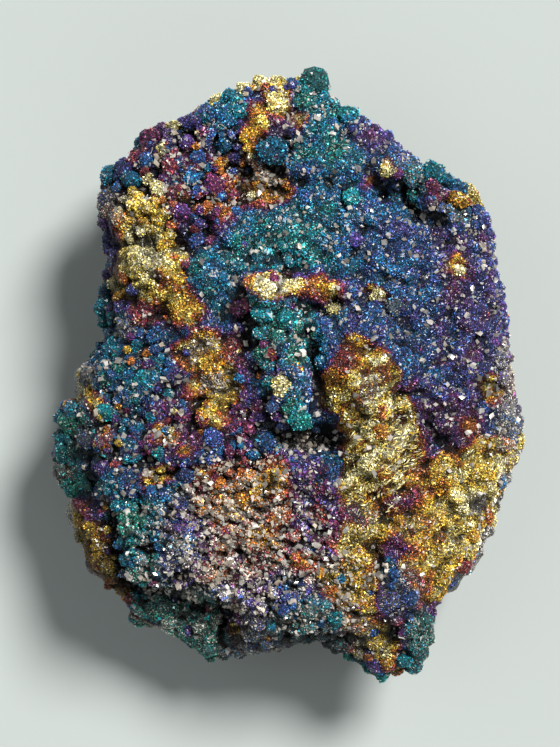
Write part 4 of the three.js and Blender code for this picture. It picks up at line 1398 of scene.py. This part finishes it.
places = np.concatenate([places, skin])
ups = np.concatenate([ups, outward])
grainFilm = np.concatenate([filmLevel[chosenPoint], middleFilm[owner]])
grainBare = np.concatenate([bare[chosenPoint], middleBare[owner]])
grainDark = np.concatenate([stoneDark, knobDark])
total = len(places)
sizes = druse["radius"] * np.exp(rng.normal(0, druse["spread"], total))
stray = rng.random(total) < druse["strays"]
grainFilm = grainFilm + rng.normal(0, druse["filmSpread"], total)
grainFilm = np.clip(grainFilm + stray * rng.normal(0, druse["strayFilm"], total), 0, 1)
grainBare = (rng.random(total) < grainBare).astype(float)
ownTone = rng.normal(size=total)
toneMiddle, toneSpread = druse["tone"]
toneSpread = toneSpread * (1 - druse["goldEven"] * goldShareOf(grainFilm))
ownBright = np.minimum(druse["brightest"], np.exp(toneMiddle + toneSpread * ownTone))
# painted shade in the hollows and painted light on the tops go into each crystal's tone
grainTone = grainDark * paintedShadeAndTopLightAt(places) * ownBright
goldDrift, goldMost = druse["goldDrift"]
grainFilm = np.clip(grainFilm - goldDrift * ownTone * (grainFilm < goldMost), 0, 1)
# the brightest crystals turn greyer: partly painted white glints, partly pale grains
palerFrom, palerSlope, palerMost = druse["paleGrainAndGlint"]
filmSlope, filmStart = druse["palerFilm"]
paleGrainAndGlint = palerMost * smooth((ownTone - palerFrom) * palerSlope) * smooth(grainFilm * filmSlope - filmStart)
grainBare = np.maximum(grainBare, paleGrainAndGlint)
places = places - ups * (druse["sink"] * sizes)[:, None]
points = scatter(pyramid, places, sizes).reshape(total, cornerCount, 3)
print("grains placed", total)

lowBand, highBand = druse["bands"]
onCrust = np.arange(total) < onStone
along = places[:, 1]
pieces = {
    "druse_upper": onCrust & (along > highBand),
    "druse_middle": onCrust & (along <= highBand) & (along > lowBand),
    "druse_lower": onCrust & (along <= lowBand),
    "druse_knobs_upper": ~onCrust & (along > 0),
    "druse_knobs_lower": ~onCrust & (along <= 0),
}
drusePieces = []
for name, kept in pieces.items():
    numbers = copiesOf(pyramidFaces, kept.sum(), cornerCount)
    values = {
        "film": np.repeat(grainFilm[kept], cornerCount),
        "matrix": np.repeat(grainBare[kept], cornerCount),
        "tone": np.repeat(grainTone[kept], cornerCount),
    }
    drusePieces.append(addMesh(name, points[kept].reshape(-1, 3), numbers, values, crystalMaterial))

# Pale crystals: small off-white rhombs, thick on the ledges and scattered elsewhere

pale = {
    "halfEdge": 0.23,
    "spread": 0.42,
    "largest": 0.42,
    "rise": 0.1,  # how far they stand out of the crust
    "lean": 0.35,  # shear of the rhomb
    "uneven": 0.42,
    "start": 0.09,  # crystals per square millimetre
    "flank": 0.12,
    "lips": (0.55, 3, 1.5, 0.5),  # on a ledge: where the lip starts, how sharply, more there, fewer below
    "zones": [
        (420, 320, 90, 120, 0, 0.2), (320, 140, 60, 60, 0, 0.32), (290, 240, 80, 50, 0, 0.2),
        (150, 250, 46, 60, 0, 0.02), (180, 175, 70, 60, 0, 0.34), (245, 525, 60, 82, 0, 1.3),
        (190, 545, 46, 52, 0, 1.3), (158, 560, 30, 44, 0, 0.9), (305, 510, 26, 56, 0, 0.8),
        (120, 430, 60, 70, 0, 0.42), (430, 490, 80, 60, 0, 0.05), (345, 578, 40, 28, 0, 0.9),
        (160, 375, 26, 20, 0, 0.2), (500, 340, 18, 140, -4, 0.35), (484, 530, 18, 100, -22, 0.4),
        (140, 545, 36, 42, 0, 0.3), (478, 238, 18, 28, -20, 0.55), (180, 625, 56, 34, 0, 0.03),
        (290, 612, 60, 12, 0, 1.0), (300, 440, 30, 10, 0, 1.2), (352, 392, 38, 42, 0, 0.05),
        (212, 375, 27, 46, 0, 0.06), (80, 440, 36, 60, 0, 0.06),
    ],
    "soft": 3.0,
    "crowdFrom": 0.3,
    "crowdSize": 0.8,  # size of the crystals where they crowd
    # painted shade: how much of the hollows' painted shade the pale crystals take on
    "hollowShadeShare": 0.5,  # how much of the darkness of a gap they take on
    "tone": (0.44, 0.22),
    "toneLimits": (0.15, 1.0),
    "warm": (0.25, 0.6, 0.25),  # how cream they are, how much more where they crowd, and the spread
    "crowdTone": 1.05,
    # cream ones of the upper left: photo pixel, half edge in millimetres and brightness
    "cream": [
        (158, 160, 0.5, 0.5), (160, 166, 0.45, 0.42), (172, 129, 0.45, 0.45), (173, 136, 0.4, 0.4),
        (163, 188, 0.5, 0.5), (166, 194, 0.5, 0.42), (191, 185, 0.5, 0.8), (195, 188, 0.4, 0.6),
        (186, 190, 0.4, 0.5), (265, 182, 0.5, 0.55), (271, 188, 0.45, 0.45), (259, 178, 0.4, 0.5),
        (276, 196, 0.4, 0.5), (262, 190, 0.4, 0.4), (282, 184, 0.4, 0.45), (250, 160, 0.4, 0.4),
        (245, 88, 0.45, 0.5), (255, 85, 0.4, 0.45), (303, 84, 0.45, 0.5), (283, 202, 0.4, 0.5),
        (176, 146, 0.35, 0.5), (204, 215, 0.4, 0.45), (98, 412, 0.5, 0.5), (104, 428, 0.4, 0.45),
        (163, 345, 0.4, 0.45), (372, 296, 0.45, 0.45), (376, 300, 0.4, 0.4), (452, 272, 0.4, 0.6),
    ],
    "creamRise": 0.5,  # in their half edges
    "creamWarm": 0.9,
    "singleRise": 0.35,
    "singleWarm": 0.2,
    "singleScale": (0.48, 1.1),  # of the half edges and of the brightness below
    # single larger ones: photo pixel, half edge in millimetres and brightness
    "single": [
        (303, 353, 1.0, 1.0), (308, 330, 0.6, 1.0), (418, 362, 0.7, 0.8), (433, 275, 0.6, 0.6),
        (248, 345, 0.6, 0.6), (203, 295, 0.6, 0.6), (190, 186, 0.9, 0.9), (170, 248, 0.5, 0.9),
        (331, 138, 0.6, 0.8), (355, 123, 0.8, 0.5), (400, 565, 0.8, 0.7), (373, 562, 0.7, 0.55),
        (350, 573, 0.7, 0.55), (318, 569, 0.8, 0.6), (400, 634, 0.8, 0.7), (446, 468, 0.6, 0.9),
        (183, 412, 1.0, 0.5), (180, 382, 1.0, 0.5), (150, 360, 0.9, 0.5), (131, 573, 0.9, 0.4),
        (227, 585, 0.6, 0.9), (248, 330, 0.4, 0.5), (281, 272, 0.6, 0.45), (318, 120, 0.6, 0.5),
        (322, 110, 0.6, 0.5), (363, 124, 0.6, 0.6), (345, 232, 0.6, 0.55), (320, 230, 0.7, 0.6),
        (372, 377, 0.5, 0.55), (426, 368, 0.5, 0.5), (452, 310, 0.5, 0.6), (470, 368, 0.5, 0.5),
        (458, 297, 0.5, 0.5), (455, 320, 0.4, 0.8), (386, 240, 0.7, 0.5), (302, 265, 0.7, 0.5),
        (433, 250, 0.4, 0.8), (242, 410, 0.5, 0.6), (262, 405, 0.5, 0.5), (300, 418, 0.8, 0.6),
    ],
}

shear = pale["lean"]
signs = [(sx, sy, sz) for sx in (-1, 1) for sy in (-1, 1) for sz in (-1, 1)]
rhomb = np.array([[sx + shear * sy, sy + shear * sz, sz] for sx, sy, sz in signs])
rhombFaces = np.array(
    [[0, 1, 3, 2], [4, 6, 7, 5], [0, 4, 5, 1], [2, 3, 7, 6], [0, 2, 6, 4], [1, 5, 7, 3]]
)
quadMiddle = stonePoints[quads].mean(1)


# The front at photo pixels: the middle of the nearest quad.
def onFrontAt(px, py):
    x, y = fromPhoto(px, py)
    gap = np.hypot(quadMiddle[:topCount, 0] - x[:, None], quadMiddle[:topCount, 1] - y[:, None])
    return quadMiddle[gap.argmin(1)]


lipFrom, lipSharp, lipMore, fewer = pale["lips"]
quadLip = lipMore * smooth((ledge[quads].mean(1) - lipFrom) * lipSharp) - fewer
quadPlaces = warped(quadMiddle[:, 0], quadMiddle[:, 1], 5)
density = layZones(*quadPlaces, pale["zones"], pale["start"], pale["soft"])
density = density * (1 + ledgeWeight[quads].mean(1) * quadLip)
density = mix(pale["flank"], density, onFront[quads].mean(1))
paleChosen = drawQuads(density * quadArea * quadCrust)
palePlaces, paleUps = placesOn(paleChosen)
crowded = smooth(density[paleChosen] - pale["crowdFrom"])
paleSizes = pale["halfEdge"] * np.exp(rng.normal(0, pale["spread"], len(palePlaces)))
paleSizes = np.minimum(paleSizes * mix(1, pale["crowdSize"], crowded), pale["largest"])
paleTone = np.clip(rng.normal(*pale["tone"], len(palePlaces)), *pale["toneLimits"])
# the pale crystals take part of the painted shade of the hollows
paleTone = paleTone * mix(1, paintedShadeAndTopLightAt(palePlaces), pale["hollowShadeShare"]) * mix(1, pale["crowdTone"], crowded)
warmStart, warmMore, warmSpread = pale["warm"]
warm = warmStart + warmMore * crowded + rng.normal(0, warmSpread, len(crowded))

singleX, singleY, singleEdge, singleTone = np.array(pale["single"]).T
creamX, creamY, creamEdge, creamTone = np.array(pale["cream"]).T
singlePlaces = onFrontAt(singleX, singleY) + [0, 0, pale["singleRise"]]
creamPlaces = onFrontAt(creamX, creamY) + creamEdge[:, None] * [0, 0, pale["creamRise"]]
singleWarm = np.full(len(singleX), pale["singleWarm"])
creamWarm = np.full(len(creamX), pale["creamWarm"])
edgeScale, toneScale = pale["singleScale"]
palePlaces = np.concatenate([palePlaces + paleUps * pale["rise"], singlePlaces, creamPlaces])
paleSizes = np.concatenate([paleSizes, singleEdge * edgeScale, creamEdge])
paleTone = np.concatenate([paleTone, singleTone * toneScale, creamTone])
warm = np.concatenate([np.clip(warm, 0, 1), singleWarm, creamWarm])
palePoints = scatter(rhomb, palePlaces, paleSizes, pale["uneven"])
paleFaces = copiesOf(rhombFaces, len(palePlaces), len(rhomb))
paleValues = {"tone": np.repeat(paleTone, len(rhomb)), "warm": np.repeat(warm, len(rhomb))}
palePiece = addMesh("pale_crystals", palePoints, paleFaces, paleValues, paleCrystalMaterial)

# Blades: thin gold and silvery crystals lying in one direction on the gold mound

blades = {
    "count": 240,
    "zones": [(382, 424, 34, 34), (400, 450, 22, 20), (372, 490, 30, 24)],
    "way": (28, 26),  # degrees, the way they lie and how far that varies
    "length": (0.6, 1.7),
    "width": 0.16,
    "flatness": 3,
    "lean": 0.25,
    "rise": 0.22,
    "silvery": (0.3, 0.8),  # share of the blades that are silvery, and how grey those are
    "film": (0.07, 0.05),
    "tone": (0.5, 1.9),
}

bladeCount = blades["count"]
zone = np.array(blades["zones"], float)[rng.integers(0, len(blades["zones"]), bladeCount)]
spinAt = rng.uniform(0, 2 * math.pi, bladeCount)
outAt = np.sqrt(rng.random(bladeCount))
spinX, spinY = outAlong(spinAt, outAt)
bladePlace = onFrontAt(zone[:, 0] + spinX * zone[:, 2], zone[:, 1] + spinY * zone[:, 3])
lie = np.radians(rng.normal(*blades["way"], bladeCount))
lean = rng.normal(0, blades["lean"], bladeCount)
half = rng.uniform(*blades["length"], bladeCount) / 2
along = np.column_stack([*outAlong(lie, np.cos(lean)), np.sin(lean)])
beside = np.column_stack([-np.sin(lie), np.cos(lie), np.zeros(bladeCount)])
upward = np.cross(along, beside)
tilt = rng.uniform(-1, 1, bladeCount)[:, None]
wide = (beside * np.cos(tilt) + upward * np.sin(tilt)) * blades["width"]
thick = (upward * np.cos(tilt) - beside * np.sin(tilt)) * (blades["width"] / blades["flatness"])
long = along * half[:, None]
bladeCorners = np.stack([long, wide, -long, -wide, thick, -thick], 1) + bladePlace[:, None, :]
bladeCorners = bladeCorners + [0, 0, blades["rise"]]
cornerCount = bladeCorners.shape[1]
bladeFaces = np.array(
    [[0, 1, 4], [1, 2, 4], [2, 3, 4], [3, 0, 4], [1, 0, 5], [2, 1, 5], [3, 2, 5], [0, 3, 5]]
)
silveryShare, grey = blades["silvery"]
silvery = rng.random(bladeCount) < silveryShare
bladeValues = {
    "film": np.repeat(np.clip(rng.normal(*blades["film"], bladeCount), 0, 1), cornerCount),
    "matrix": np.repeat(silvery * grey, cornerCount),
    "tone": np.repeat(rng.uniform(*blades["tone"], bladeCount), cornerCount),
}
bladeNumbers = copiesOf(bladeFaces, bladeCount, cornerCount)
bladePoints = bladeCorners.reshape(-1, 3)
bladePiece = addMesh("gold_blades", bladePoints, bladeNumbers, bladeValues, crystalMaterial)

# Riding and replacing

for piece in (stonePiece, knobPiece, palePiece, bladePiece, *drusePieces):
    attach(piece, "root")
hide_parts("peacock_ore")

# Floor, light and camera

studio = {
    "floorSize": 12.0,
    "floorColour": (0.405, 0.443, 0.434),
    "floorRough": 0.9,
    "worldColour": (0.80, 0.84, 0.80),
    "worldStrength": 0.18,
    # the way that each soft light comes from, its angle across, strength and colour
    "lights": [
        ("key", (0.42, 0.5, 0.72), 0.36, 5.6, (1.0, 0.98, 0.95)),
        ("fill", (-0.7, 0.1, 0.7), 1.0, 0.55, (0.92, 0.96, 1.0)),
        ("low", (0.3, -0.7, 0.5), 0.8, 0.35, (1.0, 1.0, 1.0)),
    ],
    "cameraHeight": 0.6,
    "imageSize": (560, 747),
    "sensor": 36,
    "rimHeight": 0.022,  # height at which the photo's scale holds
}

half = studio["floorSize"] / 2
floorCorners = [(-half, -half, 0), (half, -half, 0), (half, half, 0), (-half, half, 0)]
floorMesh = bpy.data.meshes.new("floor")
floorMesh.from_pydata(floorCorners, [], [(0, 1, 2, 3)])
floor = bpy.data.objects.new("floor", floorMesh)
bpy.context.scene.collection.objects.link(floor)
floorMaterial, _, floorShader = newMaterial("paleFloor")
floorShader.inputs["Base Color"].default_value = (*studio["floorColour"], 1)
floorShader.inputs["Roughness"].default_value = studio["floorRough"]
floorMesh.materials.append(floorMaterial)
floor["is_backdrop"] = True

world = bpy.data.worlds.new("studio")
bpy.context.scene.world = world
world.use_nodes = True
background = world.node_tree.nodes["Background"]
background.inputs["Color"].default_value = (*studio["worldColour"], 1)
background.inputs["Strength"].default_value = studio["worldStrength"]
bpy.context.scene.view_settings.view_transform = "Standard"

for name, place, across, strength, colour in studio["lights"]:
    light = bpy.data.lights.new(name, "SUN")
    light.angle = across
    light.energy = strength
    light.color = colour
    lamp = bpy.data.objects.new(name, light)
    lamp.location = place
    lamp.rotation_euler = (-Vector(place)).to_track_quat("-Z", "Y").to_euler()
    bpy.context.scene.collection.objects.link(lamp)

# Focal length in pixels is the photo's scale times the distance to the rim.
imageWidth, imageHeight = studio["imageSize"]
distance = studio["cameraHeight"] - studio["rimHeight"]
camera = bpy.data.cameras.new("camera")
camera.sensor_fit = "HORIZONTAL"
camera.sensor_width = studio["sensor"]
camera.lens = studio["sensor"] * layout["photoScale"] * 1000 * distance / imageWidth
camera.clip_start = 0.01
viewer = bpy.data.objects.new("camera", camera)
centreX, centreY = fromPhoto(imageWidth / 2, imageHeight / 2)
middleX, middleY = layout["middle"]
viewer.location = ((centreX - middleX) / 1000, (centreY - middleY) / 1000, studio["cameraHeight"])
bpy.context.scene.collection.objects.link(viewer)
bpy.context.scene.camera = viewer

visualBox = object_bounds()
sizes = {"cad": [list(corner) for corner in cadBox], "visual": [list(corner) for corner in visualBox]}
print("studio set, sizes", sizes)
